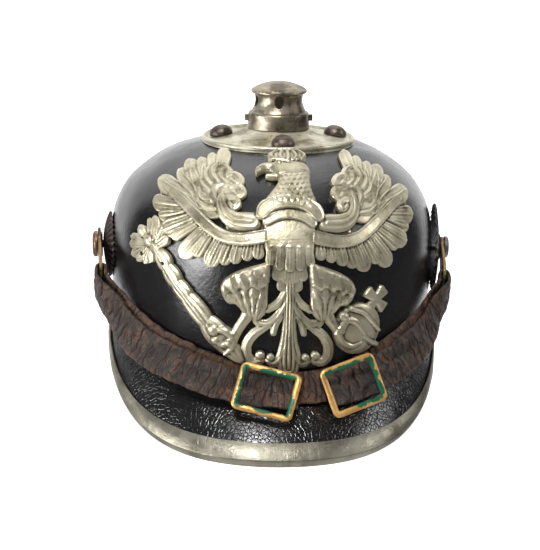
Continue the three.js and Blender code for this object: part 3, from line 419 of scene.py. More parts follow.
def make_front_visor(lacquer, raw_leather):
    lower, upper = visor_rows(FRONT_VISOR, visor_frame(FRONT_VISOR, shares(VISOR.ear_end)))
    finish_visor("front_visor", lower + upper[::-1], lacquer, raw_leather)


def make_rear_visor(lacquer, raw_leather):
    f = visor_frame(REAR_VISOR, shares(1.0))
    lower, upper = visor_rows(REAR_VISOR, f)
    finish_visor("rear_visor", [*rest_corner(f), *lower[1:], *upper[::-1]], lacquer, raw_leather)


def make_trim(metal):
    """Folded sheet over the front visor's edge"""
    share = shares(VISOR.ear_end)
    f = visor_frame(FRONT_VISOR, share)
    face = np.minimum(mixed(TRIM.face, TRIM.face_at_ear, np.abs(share) ** 3), f.width * 0.7)
    lap = np.minimum(TRIM.lap, face)
    bed = FRONT_VISOR.lift - SEAT
    top = FRONT_VISOR.lift + VISOR.thickness + SEAT
    web = np.full_like(face, FRONT_VISOR.hem - SEAT)

    def swell(inset):
        t = (inset - FRONT_VISOR.hem) / (f.width - FRONT_VISOR.hem)
        return FRONT_VISOR.arch * 4 * t * (1 - t) - FRONT_VISOR.lift * t

    def spot(inset, height):
        return f.edge + f.inward * inset[:, None] + f.up * np.broadcast_to(height, face.shape)[:, None]

    on_face, on_lap = rest_corner(f)
    zero = np.zeros_like(face)
    ring = [
        on_face,
        spot(zero, top + TRIM.sheet - 1.2),
        spot(zero + 0.7, top + TRIM.sheet + 0.1),
        spot(face * 0.5, top + TRIM.sheet + swell(face * 0.5) + 0.25),
        spot(face, top + TRIM.sheet + swell(face)),
        spot(face, top + swell(face)),
        spot(web, top),
        spot(web, bed),
        spot(lap, bed + swell(lap)),
        spot(lap, bed - TRIM.sheet + swell(lap)),
        on_lap,
    ]
    bm = skin(rounded(ring, radius=0.3).transpose(1, 0, 2))
    finish_piece("visor_trim_metal", bm, metal, ["front_visor_trim"])


def make_spine(metal):
    """A strip from the crown plate down the back and over the rear visor"""
    lift = SEAT + SPINE.thickness / 2
    radius, z = dome_at(np.linspace(dome_angle(SPINE.start), 0, 8), lift)
    down_dome = draw_oval(np.stack([np.zeros(8), radius, z], axis=1))
    rim = float(rim_height(pi))
    heights = np.array([rim + 40, rim + 22, rim + 9])
    down_wall = skull_point(np.full(3, pi), heights) + wall_normal(np.full(3, pi), heights) * lift
    f = visor_frame(REAR_VISOR, np.zeros(1))
    t = np.array([[0.72], [0.45], [0.2], [-0.04]])
    swell = REAR_VISOR.arch * 4 * t * (1 - t) + VISOR.thickness + lift
    over_visor = f.edge + f.inward * f.width[:, None] * t + f.up * swell
    line = smooth_line(np.concatenate([down_dome, down_wall, over_visor]), 90)
    along = unit(np.gradient(line, axis=0))
    aside = np.array([1.0, 0, 0])
    out = unit(np.cross(along, aside))
    half, skin_half = SPINE.width / 2, SPINE.thickness / 2
    ring = [
        line + aside * x * half + out * y * skin_half
        for x, y in ((1, -1), (1, 0.35), (0.8, 1), (0, 1.35), (-0.8, 1), (-1, 0.35), (-1, -1))
    ]
    bm = skin(rounded(ring, radius=0.3).transpose(1, 0, 2))
    finish_piece("spine_metal", bm, metal, ["rear_spine"])


# Crown fittings
def dome_height(spots):
    x, y = spots[:, 0], spots[:, 1]
    radius = np.hypot(x, y)
    for _ in range(12):
        share = np.minimum(1, (radius / SKULL.half_width) ** 2)
        back = y - SKULL.shift * share
        stretch = np.where(back < 0, SKULL.front, SKULL.rear)
        radius = np.hypot(x - SKULL.aside * share, back / (1 + (stretch - 1) * share))
    return dome_at(dome_angle(radius))[1]


def make_base_plate(metal):
    rim = PLATE.radius
    top = [
        (rim - 0.25, PLATE.rim_z), (rim, PLATE.rim_z + 0.8), (rim - 0.15, PLATE.rim_z + 1.8),
        (rim - 0.9, PLATE.rim_z + 2.5), (rim - 1.7, PLATE.rim_z + 2.3), (rim - 2.2, PLATE.rim_z + 1.5),
        (PLATE.flank_outer, PLATE.flank_z - 0.35), (PLATE.flank_outer - 1.2, PLATE.flank_z - 0.15),
        (33.5, PLATE.flank_z + 0.7),
        (PLATE.flank_inner, PLATE.flank_z + PLATE.flank_rise), (25.0, 143.7), (21.6, 144.5), (19.2, 145.6),
        (18.0, 146.4), (PLATE.collar_radius - 0.3, PLATE.collar_z),
    ]
    seat = [(radius, 0) for radius in (SKULL.vent, 20, 27, 34, rim)]
    profile = [*seat, *curve_profile(top, 60), (SKULL.vent, PLATE.collar_z), seat[0]]
    bm = turned(profile, segments=96)

    def bed(spots):
        spots = spots.copy()
        under = spots[:, 2] < 1
        spots[under, 2] = dome_height(spots[under]) + SEAT + 0.1
        spots[~under, 2] += 0.16 * ripple(spots[~under, :2], length=30, seed=11)
        return spots

    mould(bm, bed)
    finish_piece("crown_plate_metal", bm, metal, ["base_plate"], sharp=50)


def make_neck(metal):
    outer = [
        (NECK.collar + 0.5, NECK.base_z), (NECK.collar + 0.35, NECK.base_z + 1),
        (NECK.collar + 0.1, NECK.base_z + 4.5), (NECK.collar, NECK.shoulder_z - 0.9),
        (NECK.collar - 0.35, NECK.shoulder_z - 0.2),
        (NECK.collar - 1.3, NECK.shoulder_z + 0.2),
    ]
    waist = curve_profile([
        (NECK.collar - 1.5, NECK.shoulder_z + 0.35), (NECK.waist + 1.1, NECK.shoulder_z + 2.2),
        (NECK.waist + 0.15, 160.2), (NECK.waist, NECK.waist_z), (NECK.waist + 0.45, NECK.cap_z - 1.6),
        (NECK.cap - 0.9, NECK.cap_z - 0.75),
    ], 18)
    brim = [
        (NECK.cap - 0.3, NECK.cap_z - 0.6), (NECK.cap, NECK.cap_z - 0.3), (NECK.cap, NECK.cap_z + 0.8),
        (NECK.cap - 0.3, NECK.cap_z + 1.15),
    ]
    cap = curve_profile([
        (NECK.cap - 0.8, NECK.cap_z + 1.45), (NECK.cap * 0.84, NECK.cap_z + 2.5),
        (NECK.cap * 0.6, NECK.cap_z + 4.0), (NECK.cap * 0.3, NECK.top_z - 0.45), (0, NECK.top_z),
    ], 16)
    inner = [
        (0, NECK.top_z - NECK.wall), (NECK.waist - NECK.wall - 1, NECK.cap_z),
        (NECK.waist - NECK.wall, NECK.waist_z), (SKULL.vent, NECK.base_z),
    ]
    body = turned([*outer, *waist, *brim, *cap, *inner, outer[0]], segments=72)
    bores = []
    for i in range(VENT.count):
        turn = radians(VENT.front_turn + 360 * i / VENT.count)
        out = np.array([sin(turn), -cos(turn), 0])
        side = np.array([cos(turn), sin(turn), 0])
        bore = bmesh.new()
        bmesh.ops.create_cone(bore, cap_ends=True, segments=24, radius1=0.5, radius2=0.5, depth=10)
        middle = out * (NECK.waist + 1) + UP * VENT.z
        set_in(bore, (middle, side * VENT.width, UP * VENT.height, out))
        bores.append(bore)
    parts = [cut(body, joined(bores))]
    for side in (-1, 1):
        peg = bmesh.new()
        bmesh.ops.create_cube(peg, size=PEG.size)
        bmesh.ops.bevel(peg, geom=peg.edges[:], offset=0.35, affect="EDGES", segments=2, profile=0.5,
                        material=-1)
        reach = NECK.collar + PEG.reach - PEG.size / 2
        bmesh.ops.translate(peg, vec=(side * reach, 0, PEG.z), verts=peg.verts)
        parts.append(peg)
    finish_piece("vent_neck_metal", joined(parts), metal, ["vent_neck"], sharp=42)


def make_studs(metal):
    slope = atan(PLATE.flank_rise / (PLATE.flank_outer - PLATE.flank_inner))
    radius, rise = STUD.radius, STUD.rise
    for name, (turn, ring) in STUDS.items():
        height = PLATE.flank_z + (PLATE.flank_outer - ring) * tan(slope)
        angles = np.linspace(0, pi / 2, 14)
        dome = list(zip(radius * np.cos(angles) ** 0.86, 0.25 + (rise - 0.25) * np.sin(angles)))
        bm = turned([(0, 0), (radius - 0.2, 0), (radius, 0.12), *dome[:-1], (0, rise)], segments=32)
        move = (Matrix.Rotation(radians(turn - 90), 4, "Z") @ Matrix.Translation((ring, 0, height))
                @ Matrix.Rotation(slope, 4, "Y") @ Matrix.Translation((0, 0, SEAT)))
        bmesh.ops.transform(bm, matrix=move, verts=bm.verts)
        finish_piece(f"crown_stud_{name}", bm, metal, [f"base_stud_{name}"], sharp=60)


# Side fittings stand square to the wall: local x to the front, y up, z outwards
def stack_of(fitting):
    """Heights off the wall at which the pieces of a fitting start"""
    washer = 2 * SEAT + COCKADE.rise + COCKADE.sheet + COCKADE.flute_depth
    neck = washer + fitting.washer
    lug = neck + SEAT
    return Sizes(washer=washer, neck=neck, lug=lug, head=lug + LUG.thickness + SEAT)


def fitting_frame(fitting):
    turn = np.array([radians(fitting.side * fitting.turn)])
    out = wall_normal(turn, np.array([fitting.z]))[0]
    fore = np.array([fitting.side * out[1], -fitting.side * out[0], 0])
    return skull_point(turn, fitting.z)[0], fore, UP, out


def lug_frame(fitting):
    """Frame of a lug hung on its post: x runs down to the slot, y across"""
    origin, fore, up, out = fitting_frame(fitting)
    lean = radians(fitting.lean)
    return origin, fore * sin(lean) - up * cos(lean), fore * cos(lean) + up * sin(lean), out


def in_frame(frame_of, x, y, z):
    origin, a, b, c = frame_of
    return origin + a * x + b * y + c * z


def wall_fall(fitting, spots):
    """How far the wall falls away from the plane of a fitting"""
    origin, _, _, out = fitting_frame(fitting)
    turn = fitting.side * (radians(fitting.turn) - spots[:, 0] / SKULL.half_width)
    return (origin - skull_point(turn, fitting.z + spots[:, 1])) @ out


def make_posts(metals):
    for name, fitting in SIDES.items():
        stack, radius = stack_of(fitting), fitting.head
        crown = [
            (radius * cos(a) ** 0.5, stack.head + POST.head * (0.42 + 0.58 * sin(a)))
            for a in np.linspace(0, pi / 2 - 0.05, 10)
        ]
        profile = [
            (0, -SKULL.wall), (POST.shank, -SKULL.wall), (POST.shank, stack.washer),
            (POST.washer_radius, stack.washer), (POST.washer_radius * 0.9, stack.neck),
            (POST.neck, stack.neck), (POST.neck, stack.head), (radius - 0.3, stack.head),
            (radius, stack.head + 0.3), *crown, (0, stack.head + POST.head),
        ]
        bm = set_in(turned(profile, segments=40), fitting_frame(fitting))
        finish_piece(f"side_post_{name}_metal", bm, metals[name], [f"side_post_{name}"])


def make_cockades(tins):
    """Fluted discs, dished towards the wall"""
    angles = np.linspace(0, 2 * pi, COCKADE.flutes * 8, endpoint=False)[:, None]
    ridge = np.cos(COCKADE.flutes * angles)
    for name, fitting in SIDES.items():
        radii = np.linspace(COCKADE.bore, fitting.disc, 16)
        share = np.clip(radii / fitting.disc - 0.4, 0, 1) / 0.6
        dish = COCKADE.rise * (1 - (radii / fitting.disc) ** 2) + SEAT + COCKADE.flute_depth
        spread_out = radii * (1 + 0.02 * ridge * share)
        height = dish + ridge * share * COCKADE.flute_depth
        under = np.stack([spread_out * np.cos(angles), spread_out * np.sin(angles), height], -1)
        over = under + [0, 0, COCKADE.sheet]
        bm = skin(np.concatenate([under, over[:, ::-1]], axis=1), along=True)
        if fitting.bend:
            mould(bm, lambda spots: spots - UP * wall_fall(fitting, spots)[:, None])
        set_in(bm, fitting_frame(fitting))
        finish_piece(f"cockade_{name}_tin", bm, tins[name], [f"cockade_{name}"], sharp=50)


def flat_plate(outline, depth):
    bm = bmesh.new()
    face = bm.faces.new([bm.verts.new((x, y, 0)) for x, y in outline])
    grown = bmesh.ops.extrude_face_region(bm, geom=[face])
    raised = [item for item in grown["geom"] if isinstance(item, bmesh.types.BMVert)]
    bmesh.ops.translate(bm, vec=(0, 0, depth), verts=raised)
    bmesh.ops.recalc_face_normals(bm, faces=bm.faces)
    return bm


def make_lugs(brass):
    end = LUG.reach + LUG.bar / 2
    slot_end = LUG.reach - LUG.bar / 2
    half = LUG.width / 2
    shoulder = slot_end - LUG.slot - 1
    corner, cut_depth = 1.4, 8
    slot_corners = [(slot_end - LUG.slot, -LUG.slot_width / 2), (slot_end, -LUG.slot_width / 2),
                    (slot_end, LUG.slot_width / 2), (slot_end - LUG.slot, LUG.slot_width / 2)]
    for name, fitting in SIDES.items():
        angles = np.linspace(radians(62), radians(298), 28)
        eye = [(fitting.eye * cos(angle), fitting.eye * sin(angle)) for angle in angles]
        outline = [*eye, (shoulder, -half), (end - corner, -half), (end, -half + corner),
                   (end, half - corner), (end - corner, half), (shoulder, half)]
        bore = bmesh.new()
        bmesh.ops.create_cone(bore, cap_ends=True, segments=28, radius1=POST.neck + SEAT,
                              radius2=POST.neck + SEAT, depth=cut_depth)
        slot = flat_plate(rounded(slot_corners, radius=0.6), cut_depth)
        bmesh.ops.translate(slot, vec=(0, 0, -cut_depth / 2), verts=slot.verts)
        bm = cut(flat_plate(outline, LUG.thickness), joined([bore, slot]))
        bmesh.ops.translate(bm, vec=(0, 0, stack_of(fitting).lug), verts=bm.verts)
        set_in(bm, lug_frame(fitting))
        finish_piece(f"strap_lug_{name}_brass", bm, brass, [f"strap_lug_{name}"], bevel=0.35)


# Chin strap: turn, height of the middle line left and right, lean of its top to the wall,
# stand off the wall
STRAP_ROWS = [
    (0, 32.2, 32.2, 45, 0),
    (15, 35.2, 33.0, 42, 0),
    (30, 41.0, 38.5, 34, 0),
    (45, 46.2, 46.0, 25, 0),
    (58, 52.8, 51.5, 15, 0.4),
    (64, 57.4, 57.0, 9, 1.6),
]
FOLD_RADIUS = LUG.thickness / 2 + 2 * SEAT + STRAP.thickness / 2
FOLD_REACH = LUG.bar / 2 + 2 * SEAT + STRAP.thickness / 2
MIDDLE_ROW = len(STRAP_ROWS) + 1


def strap_spot(side, row):
    turn, left, right, lean, stand = row
    turn, lean = np.array([radians(side * turn)]), radians(lean)
    z = np.array([left if side < 0 else right])
    off = STRAP.wall_gap + stand + STRAP.thickness / 2 * cos(lean) + STRAP.width / 2 * sin(lean)
    wall = wall_normal(turn, z)[0]
    return skull_point(turn, z)[0] + wall * off, wall * cos(lean) + UP * sin(lean)


def strap_anchor(name, past):
    frame_of = lug_frame(SIDES[name])
    off = stack_of(SIDES[name]).lug + LUG.thickness / 2 - FOLD_RADIUS
    return in_frame(frame_of, LUG.reach + past, 0, off), frame_of[3]


STRAP_SPOTS = [
    strap_anchor("left", 0),
    strap_anchor("left", STRAP.straight),
    *[strap_spot(-1, row) for row in STRAP_ROWS[:0:-1]],
    *[strap_spot(1, row) for row in STRAP_ROWS],
    strap_anchor("right", STRAP.straight),
    strap_anchor("right", 0),
]
LAST_SPOT = len(STRAP_SPOTS) - 1


def strap_line(places):
    """Points of the inner layer's middle line at places counted in rows from the left lug"""
    points = np.array([spot for spot, _ in STRAP_SPOTS])
    points = np.concatenate([2 * points[:1] - points[1:2], points, 2 * points[-1:] - points[-2:-1]])
    first = np.clip(places.astype(int), 0, LAST_SPOT - 1)
    p0, p1, p2, p3 = (points[first + k] for k in range(4))
    pairs = ((p0, p1), (p1, p2), (p2, p3))
    d0, d1, d2 = (np.sqrt(np.linalg.norm(b - a, axis=1, keepdims=True)) for a, b in pairs)
    start = ((p1 - p0) / d0 - (p2 - p0) / (d0 + d1) + (p2 - p1) / d1) * d1
    stop = ((p2 - p1) / d1 - (p3 - p1) / (d1 + d2) + (p3 - p2) / d2) * d1
    t = (places - first)[:, None]
    return (p1 + start * t + (3 * (p2 - p1) - 2 * start - stop) * t**2
            + (2 * (p1 - p2) + start + stop) * t**3)


def strap_frames(places):
    places = np.atleast_1d(np.array(places, float))
    step = 1e-3
    along = unit(strap_line(np.minimum(places + step, LAST_SPOT)) - strap_line(np.maximum(places - step, 0)))
    normals = np.array([normal for _, normal in STRAP_SPOTS])
    first = np.minimum(places.astype(int), LAST_SPOT - 1)
    normal = mixed(normals[first], normals[first + 1], (places - first)[:, None])
    normal = unit(normal - along * (normal * along).sum(axis=1, keepdims=True))
    across = unit(np.cross(along, normal))
    across = np.where(across[:, 2:] < 0, -across, across)
    return Sizes(centre=strap_line(places), along=along, normal=normal, across=across)


def outer_frames(places):
    places = np.atleast_1d(np.array(places, float))
    f = strap_frames(places)
    from_lug = np.minimum(places, LAST_SPOT - places)
    apart = mixed(2 * FOLD_RADIUS, STRAP.thickness + STRAP.layer_gap, eased(from_lug, 1, 2.5))
    drop = STRAP.layer_drop * eased(from_lug, 1, 4)
    f.centre = f.centre + f.normal * apart[:, None] - f.across * drop[:, None]
    return f


def place_at_turn(turn):
    turns = [row[0] for row in STRAP_ROWS]
    return MIDDLE_ROW + np.sign(turn) * np.interp(abs(turn), turns, range(len(turns)))


def fold_frames(fitting, count):
    frame_of = lug_frame(fitting)
    _, down, across, out = frame_of
    bar = in_frame(frame_of, LUG.reach, 0, stack_of(fitting).lug + LUG.thickness / 2)
    angle = np.linspace(0, pi, count + 2)[1:-1, None]
    outwards, up = -np.cos(angle), np.sin(angle)
    centre = bar + out * outwards * FOLD_RADIUS - down * up * FOLD_REACH
    away = unit(out * outwards / FOLD_RADIUS - down * up / FOLD_REACH)
    return centre, away, np.broadcast_to(across, centre.shape)


def strap_course():
    """Centre, outward and width direction along the whole strap, and the rings of its inner layer"""
    step = 0.42

    def layer(frames_of, start, end, sign):
        rough = frames_of(np.linspace(start, end, 200)).centre
        length = np.linalg.norm(np.diff(rough, axis=0), axis=1).sum()
        f = frames_of(np.linspace(start, end, int(length / step)))
        return f.centre, f.normal * sign, f.across

    folds = [fold_frames(fitting, 16) for fitting in SIDES.values()]
    left_fold = tuple(part[::-1] for part in folds[0])
    stretches = [
        layer(outer_frames, place_at_turn(STRAP.left_end), 0, 1),
        left_fold,
        layer(strap_frames, 0, LAST_SPOT, -1),
        folds[1],
        layer(outer_frames, LAST_SPOT, place_at_turn(STRAP.right_end), 1),
    ]
    first = len(stretches[0][0]) + len(stretches[1][0])
    inner_rings = range(first, first + len(stretches[2][0]))
    return *[np.concatenate([stretch[k] for stretch in stretches]) for k in range(3)], inner_rings


def cracks_at(along, across, draw):
    """Depth of the cross cracks, 0 to 1: each wanders from one edge of the strap to the other"""
    depth = np.zeros_like(along)
    spot = 2.0
    while spot < along.max():
        reach = draw.uniform(0.5, 1.3)
        middle = draw.uniform(-0.7, 0.7)
        wave = draw.uniform(0.5, 1.3) * np.sin(across * draw.uniform(1.5, 4.0) + draw.uniform(0, 6))
        wave += 0.35 * np.sin(across * draw.uniform(6, 11) + draw.uniform(0, 6))
        wide = draw.uniform(0.5, 0.95)
        full = np.clip((reach - np.abs(across - middle)) * 3, 0, 1)
        groove = np.exp(-(((along - spot - wave) / wide) ** 2))
        depth = np.maximum(depth, draw.uniform(0.7, 1) * full * groove)
        spot += draw.uniform(2.6, 7.0)
    return depth


def make_strap(leather):
    centre, away, across, inner_rings = strap_course()
    run = np.concatenate([[0], np.cumsum(np.linalg.norm(np.diff(centre, axis=0), axis=1))])
    half, skin_half = STRAP.width / 2, STRAP.thickness / 2
    face = np.linspace(1, -1, 23)
    edge = [(-1.02, 0.45), (-1.02, -0.45)]
    section = [*[(x, 1.0 - 0.35 * abs(x) ** 8) for x in face], *edge,
               *[(-x, -1.0 + 0.35 * abs(x) ** 8) for x in face], *[(-x, -y) for x, y in edge]]
    x, y = np.array(section).T
    draw = np.random.default_rng(21)
    along_grid, across_grid = np.meshgrid(run, x, indexing="ij")
    crack = cracks_at(along_grid, across_grid, draw)
    edge_wave = 0.22 * ripple(run[:, None], length=17, seed=5) + 0.07 * ripple(run[:, None], length=5, seed=6)
    wide = x * (half + edge_wave[:, None])
    swell = 0.16 * ripple(np.stack([along_grid, across_grid * 9], -1), length=5, seed=7)
    proud = y * (skin_half + np.where(y > 0.5, swell - 0.5 * crack, swell * 0.5 - 0.3 * crack))
    rings = centre[:, None] + across[:, None] * wide[..., None] + away[:, None] * proud[..., None]
    way = np.stack([along_grid / 10, wide / 10, np.broadcast_to(y * skin_half / 10, wide.shape)], axis=-1)
    cut_edge = np.broadcast_to(eased(np.abs(x), 0.72, 1.0), wide.shape)
    inner = np.broadcast_to(np.isin(np.arange(len(run)), inner_rings)[:, None] * 1.0, wide.shape)
    bm = skin(rings, marks={"crack": crack, "cut_edge": cut_edge, "strap_way": way, "inner": inner})
    finish_piece("chin_strap_leather", bm, leather, ["chin_strap"], sharp=80)


# Buckles: turn of the middle, drop down the strap, roll, tip and lift;
# turn, roll and tip in degrees, drop and lift in millimetres
BUCKLES = {"left": (-5.4, 1.5, -8, 6, 0.3), "right": (18.6, 1.8, 2, 18, 2.85)}
GREEN_PLACES = {  # on the frame: place along and up, reach
    "left": [(-14, 8, 5), (-14, 1, 6), (-14, -6, 6), (-12, -11, 5), (-1, 11, 5.5), (8, 11, 6),
             (14, -2, 5), (14, -8, 5), (1, -11, 6.5)],
    "right": [(-11, 11, 5), (-3, 11, 7), (3, 11, 5), (14, 9, 6), (14, 2, 4), (14, -6, 6),
              (9, -11, 6.5), (1, -11, 5)],
}


def turned_about(vector, axis, degrees):
    return np.array(Matrix.Rotation(radians(degrees), 3, Vector(axis)) @ Vector(vector))


def make_buckles(brass):
    half = np.array([BUCKLE.length, BUCKLE.height]) / 2 - BUCKLE.bar / 2
    corner = BUCKLE.corner - BUCKLE.bar / 2 + 0.9
    straight = half - corner
    path = []
    for quarter, (sx, sy) in enumerate(((1, 1), (-1, 1), (-1, -1), (1, -1))):
        for angle in np.linspace(0, pi / 2, 9) + quarter * pi / 2:
            path.append((straight[0] * sx + corner * cos(angle), straight[1] * sy + corner * sin(angle)))
    corners = np.array(path)
    dense = []
    for a, b in zip(corners, np.roll(corners, -1, axis=0)):
        count = max(1, int(np.linalg.norm(b - a) / 0.8))
        dense.extend(a + (b - a) * i / count for i in range(count))
    path = np.array(dense)
    along = unit(np.roll(path, -1, axis=0) - np.roll(path, 1, axis=0))
    out = np.stack([along[:, 1], -along[:, 0]], axis=1)
    angle = np.linspace(0, 2 * pi, 16, endpoint=False)
    wide = np.sign(np.cos(angle)) * np.abs(np.cos(angle)) ** 0.8 * BUCKLE.bar / 2
    deep = np.sign(np.sin(angle)) * np.abs(np.sin(angle)) ** 0.8 * BUCKLE.thickness / 2 + BUCKLE.thickness / 2
    wobble = 1 + 0.05 * ripple(path, length=13, seed=9)[:, None]
    flat = path[:, None] + out[:, None] * (wide * wobble)[..., None]
    rings = np.concatenate([flat, np.broadcast_to(deep, flat.shape[:2])[..., None]], axis=2)
    for name, (turn, drop, roll, tip, lift) in BUCKLES.items():
        f = outer_frames(place_at_turn(turn))
        normal, along_strap = f.normal[0], f.along[0]
        x = turned_about(along_strap, normal, roll)
        z = turned_about(normal, x, tip)
        seat = f.centre[0] - f.across[0] * drop + normal * (STRAP.thickness / 2 + SEAT + lift)
        green = np.zeros(len(path))
        for px, py, reach in GREEN_PLACES[name]:
            green = np.maximum(green, np.exp(-(((path - [px, py]) / reach) ** 2).sum(axis=1)))
        bm = skin(rings, along=True, marks={"green": green[:, None] * (0.5 - 0.5 * np.cos(angle))})
        set_in(bm, (seat, x, np.cross(z, x), z))
        finish_piece(f"buckle_{name}_brass", bm, brass, [f"buckle_{name}"], sharp=70)


# Eagle plate: p across and q up on the skull's front, from its middle at the widest ring
def front_line():
    walls = np.arange(34, SKULL.wide_z, 3)
    radius = wall_radius((SKULL.wide_z - walls) / (SKULL.wide_z - SKULL.rim_front))
    dome_radius, dome_z = dome_at(np.arange(0, 1.45, 0.03))
    radius, z = np.concatenate([radius, dome_radius]), np.concatenate([walls, dome_z])
    spots = draw_oval(np.stack([np.zeros_like(radius), -radius, z], axis=1))
    run = np.concatenate([[0], np.cumsum(np.linalg.norm(np.diff(spots, axis=0), axis=1))])
    return run - run[len(walls)], radius, z


FRONT_LINE = front_line()


def skin_point(across, height):
    run, radius, z = FRONT_LINE
    around = np.interp(height, run, radius)
    return draw_oval(turned_spot(across / around, around, np.interp(height, run, z)))


def badge_point(p, q, lift):
    across = BADGE.shift + p
    height = q + p * tan(radians(BADGE.tilt))
    spot = skin_point(across, height)
    right = skin_point(across + 0.8, height) - skin_point(across - 0.8, height)
    above = skin_point(across, height + 1.6) - skin_point(across, height - 1.6)
    return spot + unit(np.cross(right, above)) * lift[:, None]


def round_face(x, along):
    return np.sqrt(np.maximum(1 - x * x, 0))


def bordered_face(x, along):
    """A flat face between two raised border lines"""
    return 0.45 * np.clip((1 - np.abs(x)) * 6, 0, 1) + 0.55 * np.exp(-(((np.abs(x) - 0.84) / 0.1) ** 2))


def lined_face(count, depth=0.2):
    return lambda x, along: round_face(x, along) * (1 - depth + depth * np.cos(count * pi * x))


def scales(down, aside, length, width):
    """Overlapping scale feathers, low at their roots and 1 at their tips"""
    row = np.floor(down / length)
    own = down / length - row
    above = own + 1
    u = aside / width + 0.5 * ((row - 1) % 2)
    u = u - np.round(u)
    covered = above < 1 + 0.75 * np.sqrt(np.maximum(1 - (2 * u) ** 2, 0))
    return np.where(covered, above, own) / 1.75


